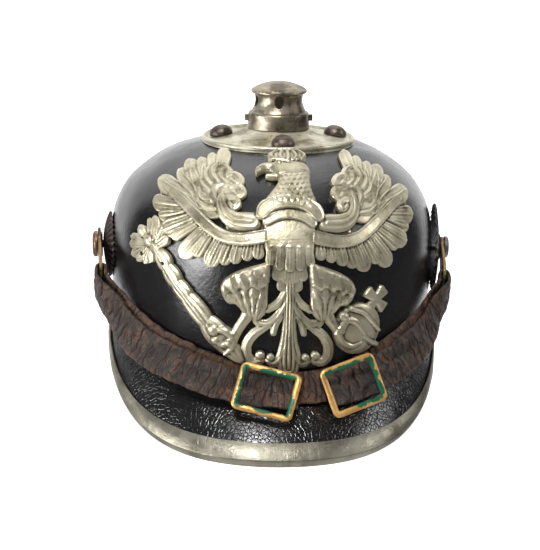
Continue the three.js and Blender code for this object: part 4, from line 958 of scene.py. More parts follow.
class Relief:
    """Heights of a stamped plate over a flat sheet; depth is how far a spot lies inside the outline"""

    def __init__(self, low, high, step):
        self.p_axis = np.arange(low[0], high[0] + step, step)
        self.q_axis = np.arange(low[1], high[1] + step, step)
        self.p, self.q = np.meshgrid(self.p_axis, self.q_axis, indexing="ij")
        self.height = np.zeros_like(self.p)
        self.depth = np.full_like(self.p, -1.0)

    def window(self, points, margin):
        low, high = points.min(axis=0) - margin, points.max(axis=0) + margin
        across = slice(*np.searchsorted(self.p_axis, (low[0], high[0])))
        return across, slice(*np.searchsorted(self.q_axis, (low[1], high[1])))

    def lay(self, window, depth, height):
        self.depth[window] = np.maximum(self.depth[window], depth)
        raised = np.maximum(self.height[window], height)
        self.height[window] = np.where(depth > 0, raised, self.height[window])

    def near_line(self, rows):
        """Depth inside a band along rows of p, q and width, place across it and way along it"""
        line = smooth_line(rows, 12 * len(rows))
        window = self.window(line[:, :2], line[:, 2].max() / 2 + 1.5)
        p, q = self.p[window], self.q[window]
        inside_most = np.full_like(p, -1e9)
        x, along, run = np.zeros_like(p), np.zeros_like(p), 0.0
        for a, b in zip(line, line[1:]):
            way = b[:2] - a[:2]
            length = max(np.hypot(*way), 1e-6)
            share = np.clip(((p - a[0]) * way[0] + (q - a[1]) * way[1]) / length**2, 0, 1)
            dp, dq = p - a[0] - way[0] * share, q - a[1] - way[1] * share
            half = (a[2] + (b[2] - a[2]) * share) / 2
            inside = half - np.hypot(dp, dq)
            closer = inside > inside_most
            inside_most = np.where(closer, inside, inside_most)
            side = np.sign(way[0] * dq - way[1] * dp)
            x = np.where(closer, np.clip(side * (1 - inside / half), -1, 1), x)
            along = np.where(closer, run + share * length, along)
            run += length
        return window, inside_most, x, along

    def band(self, rows, edge, top, face=round_face):
        """A raised band along rows of p, q and width"""
        window, depth, x, along = self.near_line(rows)
        self.lay(window, depth, edge + (top - edge) * face(x, along))

    def score(self, rows, rise):
        """A thin line along rows of p, q and width, raised or sunk on what is there"""
        window, depth, x, _ = self.near_line(rows)
        line = np.where(depth > 0, rise * (1 - x * x), 0)
        self.height[window] += np.where(self.depth[window] > 0.3, line, 0)

    def pad(self, outline, edge, top, brim, detail=None, sharp=False):
        """A raised pad on an outline of p and q, rounded over its brim"""
        ring = np.array(outline, float) if sharp else smooth_line(outline, 6 * len(outline), closed=True)
        window = self.window(ring, 1.5)
        p, q = self.p[window], self.q[window]
        gap, inside = np.full_like(p, 1e9), np.zeros_like(p, bool)
        for a, b in zip(ring, np.roll(ring, -1, axis=0)):
            way = b - a
            share = np.clip(((p - a[0]) * way[0] + (q - a[1]) * way[1]) / max(way @ way, 1e-9), 0, 1)
            gap = np.minimum(gap, np.hypot(p - a[0] - way[0] * share, q - a[1] - way[1] * share))
            crosses = (a[1] > q) != (b[1] > q)
            inside ^= crosses & (p < a[0] + (q - a[1]) * way[0] / (way[1] if way[1] else 1e-9))
        depth = np.where(inside, gap, -gap)
        height = edge + (top - edge) * round_face(1 - np.clip(depth / brim, 0, 1), 0)
        if detail:
            height = height + detail(p, q) * np.clip(depth / 0.8, 0, 1)
        self.lay(window, depth, height)

    def knob(self, p, q, radius, edge, top, groove=0.0):
        """A round boss, with a ring-shaped groove where asked"""
        window = self.window(np.array([(p, q)]), radius + 1.5)
        away = np.hypot(self.p[window] - p, self.q[window] - q)
        height = edge + (top - edge) * round_face(np.minimum(away / radius, 1), 0)
        height = height - groove * np.exp(-(((away - 0.55 * radius) / (0.14 * radius)) ** 2))
        self.lay(window, radius - away, height)

    def pierce(self, p, q, radius):
        """A round hole through the plate"""
        window = self.window(np.array([(p, q)]), radius + 1.5)
        away = np.hypot(self.p[window] - p, self.q[window] - q)
        self.depth[window] = np.minimum(self.depth[window], away - radius)

    def feather(self, root, tip, width, base, rise=0.9, tilt=0.0, grooves=2, blunt=0.55):
        """A feather with a rounded tip, a shaft, a raised rim, barbs and grooves;
        tilt lays it over its neighbour"""
        root, tip = np.array(root, float), np.array(tip, float)
        length = np.hypot(*(tip - root))
        way = (tip - root) / length
        window = self.window(np.array([root, tip]), width / 2 + 1.5)
        p, q = self.p[window] - root[0], self.q[window] - root[1]
        along, aside = p * way[0] + q * way[1], q * way[0] - p * way[1]
        share = np.clip(along / length, 0, 1)
        taper = np.clip((along - length + blunt * width) / (blunt * width), 0, 1)
        half = width / 2 * (0.72 + 0.28 * share) * np.sqrt(np.maximum(1 - taper**2, 0))
        depth = np.minimum(half - np.abs(aside), along + 1)
        x = np.clip(aside / np.maximum(half, 0.2), -1, 1)
        rim = 0.26 * np.exp(-(((depth - 0.8) / 0.42) ** 2))
        shaft = 0.3 * np.exp(-((aside / 0.45) ** 2)) * (1 - taper**2)
        groove = 0.0
        if grooves:
            groove = 0.3 * (0.5 - 0.5 * np.cos(2 * pi * (grooves + 0.5) * x)) * (1 - share**2)
        barbs = 0.09 * np.cos(4.6 * (along - 0.9 * np.abs(aside)))
        face = base + rise * (0.45 + 0.55 * round_face(x, 0)) + tilt * x + 0.35 * share
        self.lay(window, depth, face + rim + shaft + barbs - groove)


# Tables of the eagle, in millimetres: feathers are rows of root p, root q, tip p, tip q and width,
# bands rows of p, q and width, pads outlines of p and q.
# Wings, thighs and fronds are the right ones, turned over for the left
FLIGHT = [
    (15, 19, 15.4, 11, 6.4), (20, 18, 21, 9.8, 6.4), (25, 17.4, 27, 8, 7), (29, 17, 32.6, 6.5, 6.4),
    (34, 17.6, 39.8, 4.5, 9), (40, 19, 47, 7.4, 5.4), (43, 20, 54.8, 5.5, 9.6), (48, 23, 61, 13, 5.6),
    (50, 25, 67.2, 14.6, 9.6), (54, 28, 70.4, 21.2, 6.4), (55, 31, 75.8, 27, 10.4),
    (56, 33, 71.6, 34.2, 6.4),
]
UPPER = [
    (44, 36, 75.4, 41.2, 13.6), (43, 40, 61.4, 52.4, 14), (41, 42, 56.4, 62, 15.5),
    (39, 46, 47.4, 66.6, 12),
    (37, 50, 40.4, 73, 9.6), (35.5, 54, 33.2, 80.5, 9.2),
]
WING_LINES = [
    [(46, 36, 1), (50, 45, 1.2), (53, 52, 1.2), (53.5, 58, 0.8)],
    [(47, 33, 1), (52, 40, 1.2), (58, 43, 1.2), (68, 44.6, 0.8)],
    [(47, 40, 1), (52, 46, 1.2), (57, 49.6, 0.8)],
    [(45, 50, 1), (46, 56, 1.2), (45.6, 63, 0.8)],
    [(48, 33, 1), (58, 38.4, 1.2), (71, 40.8, 0.8)],
]
WING_ROOT = [(9.6, 33), (14, 34), (26, 33.6), (31, 27), (30, 16), (22, 15.6), (13, 16), (9.6, 20)]
COVERTS = [
    (28, 36), (38, 28), (50, 31), (57, 38), (54, 48), (46, 56), (40, 63), (33, 64), (27.5, 58), (24, 48),
]
CURLS = [
    [(30, 58.4, 3), (26.2, 57.4, 3.8), (24.4, 54, 4), (26.2, 51.2, 3.2), (28.6, 53, 2.2)],
    [(34.4, 64, 3), (31.4, 62, 3.6), (29.8, 58.6, 3.2), (31.4, 55.6, 2.4)],
    [(28.4, 49.6, 2.8), (24.6, 48.8, 3.6), (23.4, 45.8, 3.8), (25.4, 43, 3), (27.8, 45, 2.2)],
    [(30.4, 41.4, 2.6), (27, 41, 3.4), (25.8, 38.2, 3.4), (27.6, 36, 2.8), (29.4, 37.6, 2)],
    [(33, 40, 4.2), (33.4, 44.6, 4), (31.6, 48.2, 3.2), (28.8, 48, 2.2)],
    [(36.6, 38.4, 2.8), (38.2, 42.6, 3.2), (36.6, 46.8, 3), (33.4, 49, 2.2)],
    [(31.8, 51, 2.8), (34.8, 54, 3.4), (35, 58.4, 3), (32.8, 61.4, 2)],
    [(36, 50, 2.8), (39, 54, 3.4), (39.4, 59, 3), (37.4, 63.4, 2)],
    [(40.4, 47.4, 2.8), (43.2, 50.8, 3.4), (43.8, 55.4, 2.8), (42, 59.6, 1.8)],
    [(40.6, 42.8, 2.8), (44.6, 45.4, 3.4), (46, 49.6, 2.4)],
    [(39.4, 37.2, 2.8), (43.4, 36.2, 3.4), (46.4, 39, 3.2), (46, 43.2, 2.2)],
    [(37, 33, 2), (42, 33.2, 2.8), (47, 36, 2)],
]
ARM = [
    (18.4, 28.7, 9.4), (23, 28.7, 9.8), (27.6, 29.2, 9.4), (31.8, 32, 8), (33.8, 36.8, 6.2),
    (33.4, 41, 4.4),
]
RIBBON = [
    (11.5, 22.2, 6.6), (18, 20.7, 6.4), (24, 19.7, 6.2), (31, 19.9, 6.2), (37, 21.6, 6.4),
    (42.5, 24.8, 6.6),
    (48, 28.4, 6.6), (53, 31.4, 6.4), (58.5, 34.4, 6), (64, 36.8, 5), (69, 38.8, 2.6),
]
LEFT_WING = Sizes(start=30.0, lift=0.07)
CURL_WIDTH = 1.28
BROAD_FEATHER = 6.6
THIGH = [
    (9.4, 9.8), (14.7, 8.6), (20, 6.8), (26, 4.2), (31, 0.4), (33, -4.6), (32, -9), (29, -12.2),
    (25.4, -12.2),
    (21.4, -16.6), (16, -19.6), (12.8, -17.4), (10.6, -13.4), (10.6, -7), (10, 0), (8.6, 6),
]
THIGH_SHOULDER = [
    (9.6, 9.4), (14.7, 8.2), (20, 6.4), (26, 3.8), (30.8, 0), (32.6, -4.6), (30.8, -8.2), (28, -5.8),
    (25.6, -6.4),
    (23.2, -3.6), (20.4, -4.4), (17.4, -2.2), (14.6, -3.4), (11.6, -1.6), (10.2, 0),
]
ANKLE = (17.0, -24.0)
FRONDS = [
    [(2, -4, 3.4), (4.8, -9.6, 4.2), (10.2, -13.8, 3.2)],
    [(1.4, -9, 3.4), (4.8, -16.2, 4.6), (9.6, -21, 5), (14.4, -20.8, 4.4), (16.6, -18.6, 2.8)],
    [(3.4, -16.6, 2.8), (6.4, -20.6, 3.8), (7.4, -25.8, 3)],
    [(9.6, -21.6, 3), (13.4, -24, 4.4), (17.4, -27.6, 5), (20.2, -33, 5), (20, -38.6, 4.8), (17, -41.6, 4.4),
     (13.2, -40.8, 3.6)],
    [(2.4, -34, 4), (4.2, -39.4, 4.4), (7, -41.8, 4.2), (9.8, -40.6, 3)],
]
SCROLL_BALLS = [(13.6, -38, 2.3), (8.6, -38.8, 1.9)]
BODY = [
    (-12.4, 33), (-12.2, 25), (-12, 18), (-10.6, 11), (-7.4, 5), (-4, 0.6), (0, -1.4), (4, 0.6),
    (7.4, 5), (10.4, 11),
    (11.8, 18), (12.2, 25), (12.4, 32), (8, 36), (0, 37), (-8, 36),
]
NECK_FEATHERS = [
    (-13.4, 34), (-12.4, 40), (-9.4, 45.4), (-6.6, 50.2), (-5, 54.6), (-5, 60), (2, 62.4), (10.2, 61),
    (10.6, 55),
    (11, 49), (12.8, 42.4), (14.4, 36.6), (13.4, 32.6), (0, 36),
]
HEAD = [
    (-5, 57.4), (-8, 61.6), (-10.2, 65.8), (-8.6, 69), (0, 70.6), (7, 69.4), (10, 65.4), (10.4, 59),
    (3, 56),
]
EYE = (-4.4, 66.6, 2.2)
BROW = [(-8, 68.8, 1.6), (-4.4, 69.2, 2), (0.6, 67.6, 1.4)]
CROWN = [
    (-8.8, 69.6), (-9.6, 75), (-9, 80), (-4, 83), (4, 83), (9.2, 80), (9.8, 75), (7.6, 69.6), (0, 70.6),
]
CROWN_BEADS = Sizes(places=np.arange(-6.9, 8, 2.3), q=70.8, radius=1.15)
CROWN_ARCHES = Sizes(places=(-7.6, -3.4, 0.4, 4.2, 8.2), rows=((0.8, 72), (1.06, 76), (0.6, 82)), width=1.8)
BREAST_BAND = [
    (-13.4, 32.6, 6), (-11.2, 36, 7.6), (-6.4, 39, 8), (0, 40, 8.2), (6.6, 38.9, 8), (11.4, 35.6, 7.6),
    (13.8, 32, 6),
]
LOWER_BAND = [(-11.2, 28.8, 4), (-6, 32, 4.6), (0, 33, 4.8), (6.2, 31.8, 4.6), (11.2, 28.4, 4)]
BEAK = [(-3, 65, 8.2), (-8.4, 66, 6.6), (-12.2, 65, 4.8), (-14.9, 62.2, 2.8), (-15.8, 59.8, 1.2)]
JAW = [(-4, 60, 4.6), (-7.6, 58.6, 3.4), (-10.6, 58.4, 1.6)]
BELLY_PLUMES = [  # root p, root q, tip p, tip q, width, base
    (-4, 5, -4.2, -3.6, 4.6, 1.8), (4, 5, 4.2, -3.6, 4.6, 1.8), (0, 5, 0.3, -5, 5, 2.0),
    (-6.2, 11, -6.4, 1.6, 5, 2.2), (-2.2, 11, -2.2, 1, 5, 2.3), (2.2, 11, 2.4, 1, 5, 2.3),
    (6.2, 11, 6.4, 1.6, 5, 2.2),
    (-9, 17, -9.6, 8.4, 5, 2.5), (-4.6, 17, -4.8, 6.6, 5.2, 2.7), (0, 17, 0, 6, 5.4, 2.8),
    (4.6, 17, 4.8, 6.6, 5.2, 2.7),
    (9, 17, 9.6, 8.4, 5, 2.5),
]
TAIL_STEM = [
    (0.2, 0, 7), (0.3, -10, 6.8), (0.3, -20, 6.4), (0.3, -30, 8.4), (0.4, -38, 11.6), (0.4, -44, 10.4),
]
SHANKS = [
    [(-18.6, -15, 7.2), (-21, -19, 5.4), (-24, -24, 5), (-26.4, -29, 5), (-27.4, -32.6, 4.4)],
    [(18.4, -16, 6.8), (21.4, -20.4, 5.2), (25, -25.2, 5)],
]
TOES = [
    [(-27.4, -28.6, 4.2), (-31.4, -26.2, 4), (-35.6, -26.6, 3)],
    [(-27.6, -30.6, 4), (-31.6, -33.8, 3.8), (-35, -32, 2.8)],
    [(-26.8, -31, 4), (-27.6, -35.4, 3.6), (-30.4, -38.4, 2.4)],
    [(25.6, -24.4, 4.4), (28.6, -19.6, 4.6), (33, -20.6, 4.8), (37, -25.4, 4.2), (39, -29.2, 1.8)],
    [(24.4, -26, 4.2), (26.6, -30.6, 4), (31.4, -33.2, 3.8), (36.4, -31.8, 2.2)],
]
TOE_KNUCKLES = [
    (-36.5, -26.7, 3), (-28.6, -32.5, 2.2), (-35.3, -31.7, 2.2), (27.2, -17.5, 2.4), (25.4, -24.4, 2.6),
]
SCEPTRE = [
    (-23.4, -40.6, 5), (-26, -38, 8.4), (-29.6, -34.8, 10), (-33, -31.4, 12), (-36, -28.4, 13),
    (-38.8, -25.4, 11),
    (-40.6, -23.6, 7.6), (-42.6, -21.6, 9.6), (-46, -18, 10.4), (-49.6, -14.4, 9.4), (-51.2, -12.8, 7.6),
    (-53, -10.8, 9), (-56.2, -7.8, 8.2), (-57.6, -6.4, 6.6), (-59.4, -4.2, 9.6), (-61.8, -1.6, 9),
    (-63, -0.2, 6.8),
    (-65.2, 2.6, 9.4), (-67.2, 4.8, 8.4), (-68.6, 6.2, 5.6), (-72, 8.6, 6),
]
LEAVES = [
    (-74, 9, -75.8, 21.4, 6.4), (-72.6, 9, -71.4, 23.4, 6.6), (-71, 9.4, -67, 20, 6),
    (-70, 9.6, -62.8, 14.8, 5.6),
    (-77, 9, -90, 9.4, 5), (-77, 8.6, -90.2, 5.6, 5), (-77, 8, -88.8, 0.8, 5.4), (-76, 8, -84, -0.8, 5),
    (-75, 7.6, -78.6, -1, 5), (-73.6, 7.6, -73.8, 0.6, 5),
]
ORB = Sizes(p=35.8, q=-25.2, radius=13.4)
ORB_BANDS = [
    [(38, -28.6, 2.8), (42.6, -32.6, 2.8), (45.8, -34, 2.4)],
    [(31, -13.6, 2.4), (38, -17, 2.6), (46.8, -26.6, 2.4)],
]
CROSS = Sizes(p=46.6, q=-11.4, root=-0.8, reach=7.6, narrow=2.6, wide=6.4, turns=(42, 138, 222, 317))
BUD_STEM = [(-76, 11, 4), (-80.6, 13.6, 3.6)]
BUD = (-81.2, 14, 3)
BOSS = (-75.6, 10.6, 2.8)
HOLES = [(-64.6, 2.2, 0.9), (-80.6, 3.4, 1.2)]


def draw_wing(relief, side):
    def put(p, q, *rest):
        lift = LEFT_WING.lift * max(p - LEFT_WING.start, 0) if side < 0 else 0
        return (side * p, q + lift, *rest)

    def put_all(rows):
        return [put(*row) for row in rows]

    for p0, q0, p1, q1, width in FLIGHT:
        broad = width > BROAD_FEATHER
        relief.feather(put(p0, q0), put(p1, q1), width, base=1.3 if broad else 0.8, tilt=0.22 * side,
                       grooves=2 if broad else 1)
    for i, (p0, q0, p1, q1, width) in enumerate(UPPER):
        relief.feather(put(p0, q0), put(p1, q1), width, base=1.7 - 0.1 * i, rise=0.6, tilt=-0.4 * side,
                       grooves=0, blunt=0.7)
    relief.pad(put_all(WING_ROOT), edge=1.1, top=1.5, brim=2)
    relief.pad(put_all(COVERTS), edge=1.6, top=2.4, brim=4)
    for rows in WING_LINES:
        relief.score(put_all(rows), rise=0.45)
    for i, rows in enumerate(CURLS):
        wider = [put(p, q, CURL_WIDTH * width) for p, q, width in rows]
        relief.band(wider, edge=2.0, top=3.0 + 0.35 * (i % 2), face=lined_face(2, 0.16))
    relief.band(put_all(ARM), edge=2.0, top=3.9, face=lined_face(3, 0.14))
    relief.band(put_all(RIBBON), edge=2.4, top=3.3, face=bordered_face)


def draw_legs(relief, side):
    def put_all(rows):
        return [(side * p, *rest) for p, *rest in rows]

    def plumes(p, q):
        around = np.arctan2(p * side - ANKLE[0], q - ANKLE[1])
        away = np.hypot(p * side - ANKLE[0], q - ANKLE[1])
        return 0.26 * np.cos(around * 30) + 0.6 * scales(-away, around * 22, length=5.2, width=3.4)

    relief.pad(put_all(THIGH), edge=1.8, top=4.2, brim=6, detail=plumes)
    relief.pad(put_all(THIGH_SHOULDER), edge=4.0, top=5.4, brim=5, detail=plumes)
    for rows in FRONDS:
        relief.band(put_all(rows), edge=1.2, top=3.2, face=lined_face(2, 0.12))
    for ball in put_all(SCROLL_BALLS):
        relief.knob(*ball, edge=1.8, top=3.6)


def draw_body(relief):
    def breast(p, q):
        return 0.07 * scales(40 - q, p, length=4.2, width=5.0)

    def ruff(p, q):
        return 0.6 * scales(75 - q + 0.03 * p * p, p, length=3.3, width=3.0)

    relief.band(TAIL_STEM, edge=1.6, top=3.8, face=lined_face(5, 0.2))
    relief.pad(BODY, edge=2.2, top=3.2, brim=2.0, detail=breast)
    for p0, q0, p1, q1, width, base in BELLY_PLUMES:
        relief.feather((p0, q0), (p1, q1), width, base, rise=0.8)
    relief.pad(NECK_FEATHERS, edge=2.0, top=4.6, brim=7, detail=ruff)
    relief.band(LOWER_BAND, edge=3.6, top=4.7, face=bordered_face)
    relief.band(BREAST_BAND, edge=4.0, top=5.2, face=bordered_face)
    relief.pad(HEAD, edge=2.4, top=5.2, brim=6)
    relief.knob(*EYE, edge=4.8, top=5.8, groove=0.9)
    relief.band(BROW, edge=4.8, top=6.0)
    relief.pad(CROWN, edge=1.8, top=3.6, brim=4)
    for p in CROWN_BEADS.places:
        relief.knob(p, CROWN_BEADS.q, CROWN_BEADS.radius, edge=3.6, top=5.0)
    for p in CROWN_ARCHES.places:
        rows = [(p * share, q, CROWN_ARCHES.width) for share, q in CROWN_ARCHES.rows]
        relief.band(rows, edge=3.0, top=4.4)
    relief.band(JAW, edge=1.6, top=3.4)
    relief.band(BEAK, edge=1.6, top=4.8, face=lined_face(1, 0.1))


def draw_regalia(relief):
    for rows in SHANKS:
        relief.band(rows, edge=1.6, top=4.0)
    relief.band(SCEPTRE, edge=1.4, top=4.2, face=lined_face(3, 0.08))
    for i, (p0, q0, p1, q1, width) in enumerate(LEAVES):
        relief.feather((p0, q0), (p1, q1), width, base=1.0 + 0.3 * (i % 2), rise=1.5, grooves=1)
    relief.band(BUD_STEM, edge=2.0, top=3.6)
    relief.knob(*BUD, edge=2.2, top=4.4)
    relief.knob(*BOSS, edge=2.6, top=4.6)
    relief.knob(ORB.p, ORB.q, ORB.radius, edge=1.8, top=5.0)
    for rows in ORB_BANDS:
        relief.band(rows, edge=3.6, top=5.4)
    narrow, wide = CROSS.narrow / 2, CROSS.wide / 2
    corners = [(CROSS.root, -narrow), (CROSS.reach, -wide), (CROSS.reach, wide), (CROSS.root, narrow)]
    for turn in CROSS.turns:
        c, s = cos(radians(turn)), sin(radians(turn))
        outline = [(CROSS.p + a * c - b * s, CROSS.q + a * s + b * c) for a, b in corners]
        relief.pad(outline, edge=1.8, top=2.6, brim=1.2, sharp=True)
    for rows in TOES:
        relief.band(rows, edge=2.6, top=5.4 if rows[0][0] > 0 else 4.8)
    for knuckle in TOE_KNUCKLES:
        relief.knob(*knuckle, edge=3.4, top=5.6)
    for hole in HOLES:
        relief.pierce(*hole)


def blurred(field, reach):
    """A field averaged over a square of cells"""
    for axis in (0, 1):
        field = sum(np.roll(field, k, axis=axis) for k in range(-reach, reach + 1)) / (2 * reach + 1)
    return field


def clear_of_plate(relief):
    """The outline ends at the rim of the crown plate"""
    spots = badge_point(relief.p.ravel(), relief.q.ravel(), np.full(relief.p.size, 2.0))
    away = np.hypot(spots[:, 0], spots[:, 1]).reshape(relief.p.shape) - PLATE.radius - SEAT
    relief.depth = np.minimum(relief.depth, away)


def make_eagle(metal):
    relief = Relief((-95, -47), (84, 90), BADGE.grid)
    for side in (-1, 1):
        draw_wing(relief, side)
        draw_legs(relief, side)
    draw_regalia(relief)
    draw_body(relief)
    clear_of_plate(relief)
    height = np.where(relief.depth > 0, relief.height, 0)
    hollow = blurred(height, 4) - height
    slope_p, slope_q = np.gradient(relief.depth, BADGE.grid)
    columns, rows = relief.p.shape
    bm = bmesh.new()
    bmesh.ops.create_grid(bm, x_segments=columns - 1, y_segments=rows - 1, size=1)
    layer = bm.verts.layers.float.new("hollow")
    outside = [vert for vert in bm.verts if relief.depth[grid_cell(vert, columns, rows)] <= 0]
    bmesh.ops.delete(bm, geom=outside, context="VERTS")
    loose = [vert for vert in bm.verts if not vert.link_faces]
    bmesh.ops.delete(bm, geom=loose, context="VERTS")
    for vert in bm.verts:
        spot = grid_cell(vert, columns, rows)
        p, q = relief.p[spot], relief.q[spot]
        if vert.is_boundary:
            gp, gq = slope_p[spot], slope_q[spot]
            reach = min(relief.depth[spot] / max(gp * gp + gq * gq, 0.2), BADGE.grid)
            p, q = p - gp * reach, q - gq * reach
        vert.co = (p, q, height[spot])
        vert[layer] = hollow[spot]
    bmesh.ops.smooth_vert(bm, verts=bm.verts, factor=0.35, use_axis_z=True)
    rim = [edge for edge in bm.edges if edge.is_boundary]
    grown = bmesh.ops.extrude_edge_only(bm, edges=rim)
    for vert in grown["geom"]:
        if isinstance(vert, bmesh.types.BMVert):
            vert.co.z = SEAT

    def wrap(spots):
        return badge_point(spots[:, 0], spots[:, 1], spots[:, 2])

    mould(bm, wrap)
    finish_piece("eagle_plate_metal", bm, metal, ["front_plate"], sharp=75)


# Finishes
def feed(tree, socket, value):
    """Links a socket to an input, or sets a constant on it"""
    if isinstance(value, bpy.types.NodeSocket):
        tree.links.new(value, socket)
    else:
        socket.default_value = value


def add_node(tree, kind, inputs=None, **settings):
    node = tree.nodes.new(kind)
    for name, value in settings.items():
        setattr(node, name, value)
    for name, value in (inputs or {}).items():
        feed(tree, node.inputs[name], value)
    return node


def grey(value):
    return (value, value, value, 1)


def shade(red, green, blue):
    return (red, green, blue, 1)


def blend(tree, share, first, second):
    """Mixes two colours; each may be a colour or a socket"""
    node = add_node(tree, "ShaderNodeMix", {0: share}, data_type="RGBA")
    feed(tree, node.inputs[6], first)
    feed(tree, node.inputs[7], second)
    return node.outputs[2]


def math(tree, way, first, second):
    return add_node(tree, "ShaderNodeMath", {0: first, 1: second}, operation=way).outputs[0]


def part_of(tree, share, value):
    return math(tree, "MULTIPLY", value, share)


def mark_of(tree, name, kind="Fac"):
    """Values that the mesh keeps under a name"""
    return add_node(tree, "ShaderNodeAttribute", attribute_name=name).outputs[kind]


def spread(tree, value, low, high, to_low=0.0, to_high=1.0):
    """A value mapped from one range to another and held inside it"""
    inputs = {"Value": value, "From Min": low, "From Max": high, "To Min": to_low, "To Max": to_high}
    return add_node(tree, "ShaderNodeMapRange", inputs, interpolation_type="SMOOTHSTEP").outputs[0]


def spots_of(tree):
    return add_node(tree, "ShaderNodeTexCoord").outputs["Object"]


def noise(tree, where, scale, detail=3.0, rough=0.55, stretch=None):
    if stretch:
        where = add_node(tree, "ShaderNodeMapping", {"Vector": where, "Scale": stretch}).outputs[0]
    inputs = {"Vector": where, "Scale": scale, "Detail": detail, "Roughness": rough}
    return add_node(tree, "ShaderNodeTexNoise", inputs).outputs["Fac"]


def cells(tree, where, scale, feature="F1"):
    inputs = {"Vector": where, "Scale": scale}
    return add_node(tree, "ShaderNodeTexVoronoi", inputs, feature=feature).outputs["Distance"]


def new_group(name, inputs, outputs):
    """An effect shared by finishes: values in, masks and heights out"""
    tree = bpy.data.node_groups.new(name, "ShaderNodeTree")
    for label, value in inputs.items():
        tree.interface.new_socket(label, in_out="INPUT", socket_type="NodeSocketFloat").default_value = value
    for label in outputs:
        tree.interface.new_socket(label, in_out="OUTPUT", socket_type="NodeSocketFloat")
    return tree, add_node(tree, "NodeGroupInput").outputs, add_node(tree, "NodeGroupOutput").inputs


def use_group(tree, group, **values):
    node = add_node(tree, "ShaderNodeGroup", node_tree=group)
    for label, value in values.items():
        node.inputs[label].default_value = value
    return node.outputs


def pebble_group():
    tree, given, result = new_group("pebble grain", {"Cells": 1000.0}, ["Height", "Crease"])
    where = spots_of(tree)
    fine = math(tree, "MULTIPLY", given["Cells"], 2.6)
    round_cells = cells(tree, where, given["Cells"], "SMOOTH_F1")
    crease = cells(tree, where, given["Cells"], "DISTANCE_TO_EDGE")
    tree.links.new(math(tree, "SUBTRACT", noise(tree, where, fine, 2), round_cells), result["Height"])
    tree.links.new(spread(tree, crease, 0.0, 0.12, 1, 0), result["Crease"])
    return tree


def tarnish_group():
    tree, given, result = new_group("tarnish", {"Size": 60.0, "Share": 0.5}, ["Patches", "Specks", "Clouds"])
    where = spots_of(tree)
    cloud = noise(tree, where, given["Size"], 5, 0.62)
    speck = noise(tree, where, math(tree, "MULTIPLY", given["Size"], 9), 3, 0.6)
    low = math(tree, "SUBTRACT", 0.72, math(tree, "MULTIPLY", given["Share"], 0.34))
    tree.links.new(spread(tree, cloud, low, math(tree, "ADD", low, 0.12)), result["Patches"])
    tree.links.new(spread(tree, speck, 0.6, 0.74), result["Specks"])
    tree.links.new(cloud, result["Clouds"])
    return tree


def wear_group():
    tree, given, result = new_group("edge wear", {"Start": 0.52, "Full": 0.6}, ["Edges", "Hollows"])
    bend = add_node(tree, "ShaderNodeNewGeometry").outputs["Pointiness"]
    tree.links.new(spread(tree, bend, given["Start"], given["Full"]), result["Edges"])
    tree.links.new(spread(tree, bend, 0.49, 0.42), result["Hollows"])
    return tree


def scuff_group():
    tree, given, result = new_group("scuffs", {"Length": 30.0}, ["Lines"])
    where = spots_of(tree)
    lines = [
        spread(tree, noise(tree, where, given["Length"], 2, 0.5, stretch), 0.62, 0.72)
        for stretch in ((1, 1, 26), (22, 2, 1))
    ]
    tree.links.new(math(tree, "MAXIMUM", *lines), result["Lines"])
    return tree


PEBBLE, TARNISH, WEAR, SCUFFS = pebble_group(), tarnish_group(), wear_group(), scuff_group()


def new_finish(name):
    material = bpy.data.materials.new(name)
    material.use_nodes = True
    tree = material.node_tree
    return material, tree, tree.nodes["Principled BSDF"]


def give(tree, shader, **values):
    """Sets inputs of a shader by label, with underscores for spaces"""
    for label, value in values.items():
        feed(tree, shader.inputs[label.replace("_", " ")], value)


def bump(tree, height, strength, distance):
    inputs = {"Height": height, "Strength": strength, "Distance": distance}
    return add_node(tree, "ShaderNodeBump", inputs).outputs[0]


def skull_lacquer():
    material, tree, shader = new_finish("pebbled black lacquer")
    where = spots_of(tree)
    grain = use_group(tree, PEBBLE, Cells=720.0)
    marks = use_group(tree, TARNISH, Size=55.0, Share=0.3)
    wear = use_group(tree, WEAR, Start=0.56, Full=0.66)
    colour = blend(tree, marks["Specks"], shade(0.005, 0.0046, 0.0052), shade(0.02, 0.016, 0.015))
    colour = blend(tree, wear["Edges"], colour, shade(0.045, 0.03, 0.022))
    rough = spread(tree, noise(tree, where, 40, 4), 0.3, 0.7, 0.12, 0.26)
    give(tree, shader, Base_Color=colour, Roughness=rough, Specular_IOR_Level=0.55,
         Normal=bump(tree, grain["Height"], 0.38, 0.00022))
    return material


def visor_lacquer():
    material, tree, shader = new_finish("crackled black lacquer")
    where = spots_of(tree)
    grain = use_group(tree, PEBBLE, Cells=480.0)
    marks = use_group(tree, TARNISH, Size=70.0, Share=0.35)
    wear = use_group(tree, WEAR, Start=0.55, Full=0.64)
    # painted shade: the crackle grooves are coloured darker than the lacquer around them
    colour = blend(tree, grain["Crease"], shade(0.008, 0.0078, 0.008), shade(0.003, 0.003, 0.003))
    colour = blend(tree, marks["Specks"], colour, shade(0.026, 0.022, 0.019))
    colour = blend(tree, wear["Edges"], colour, shade(0.05, 0.032, 0.024))
    rough = spread(tree, noise(tree, where, 60, 4), 0.3, 0.7, 0.14, 0.28)
    height = math(tree, "SUBTRACT", part_of(tree, 0.55, grain["Height"]), grain["Crease"])
    give(tree, shader, Base_Color=colour, Roughness=rough, Specular_IOR_Level=0.6,
         Normal=bump(tree, height, 0.25, 0.0004))
    return material


def raw_leather():
    material, tree, shader = new_finish("raw inner leather")
    where = spots_of(tree)
    grain = use_group(tree, PEBBLE, Cells=900.0)
    colour = blend(tree, noise(tree, where, 35, 5), shade(0.05, 0.026, 0.014), shade(0.13, 0.072, 0.038))
    give(tree, shader, Base_Color=colour, Roughness=0.78, Normal=bump(tree, grain["Height"], 0.3, 0.0003))
    return material


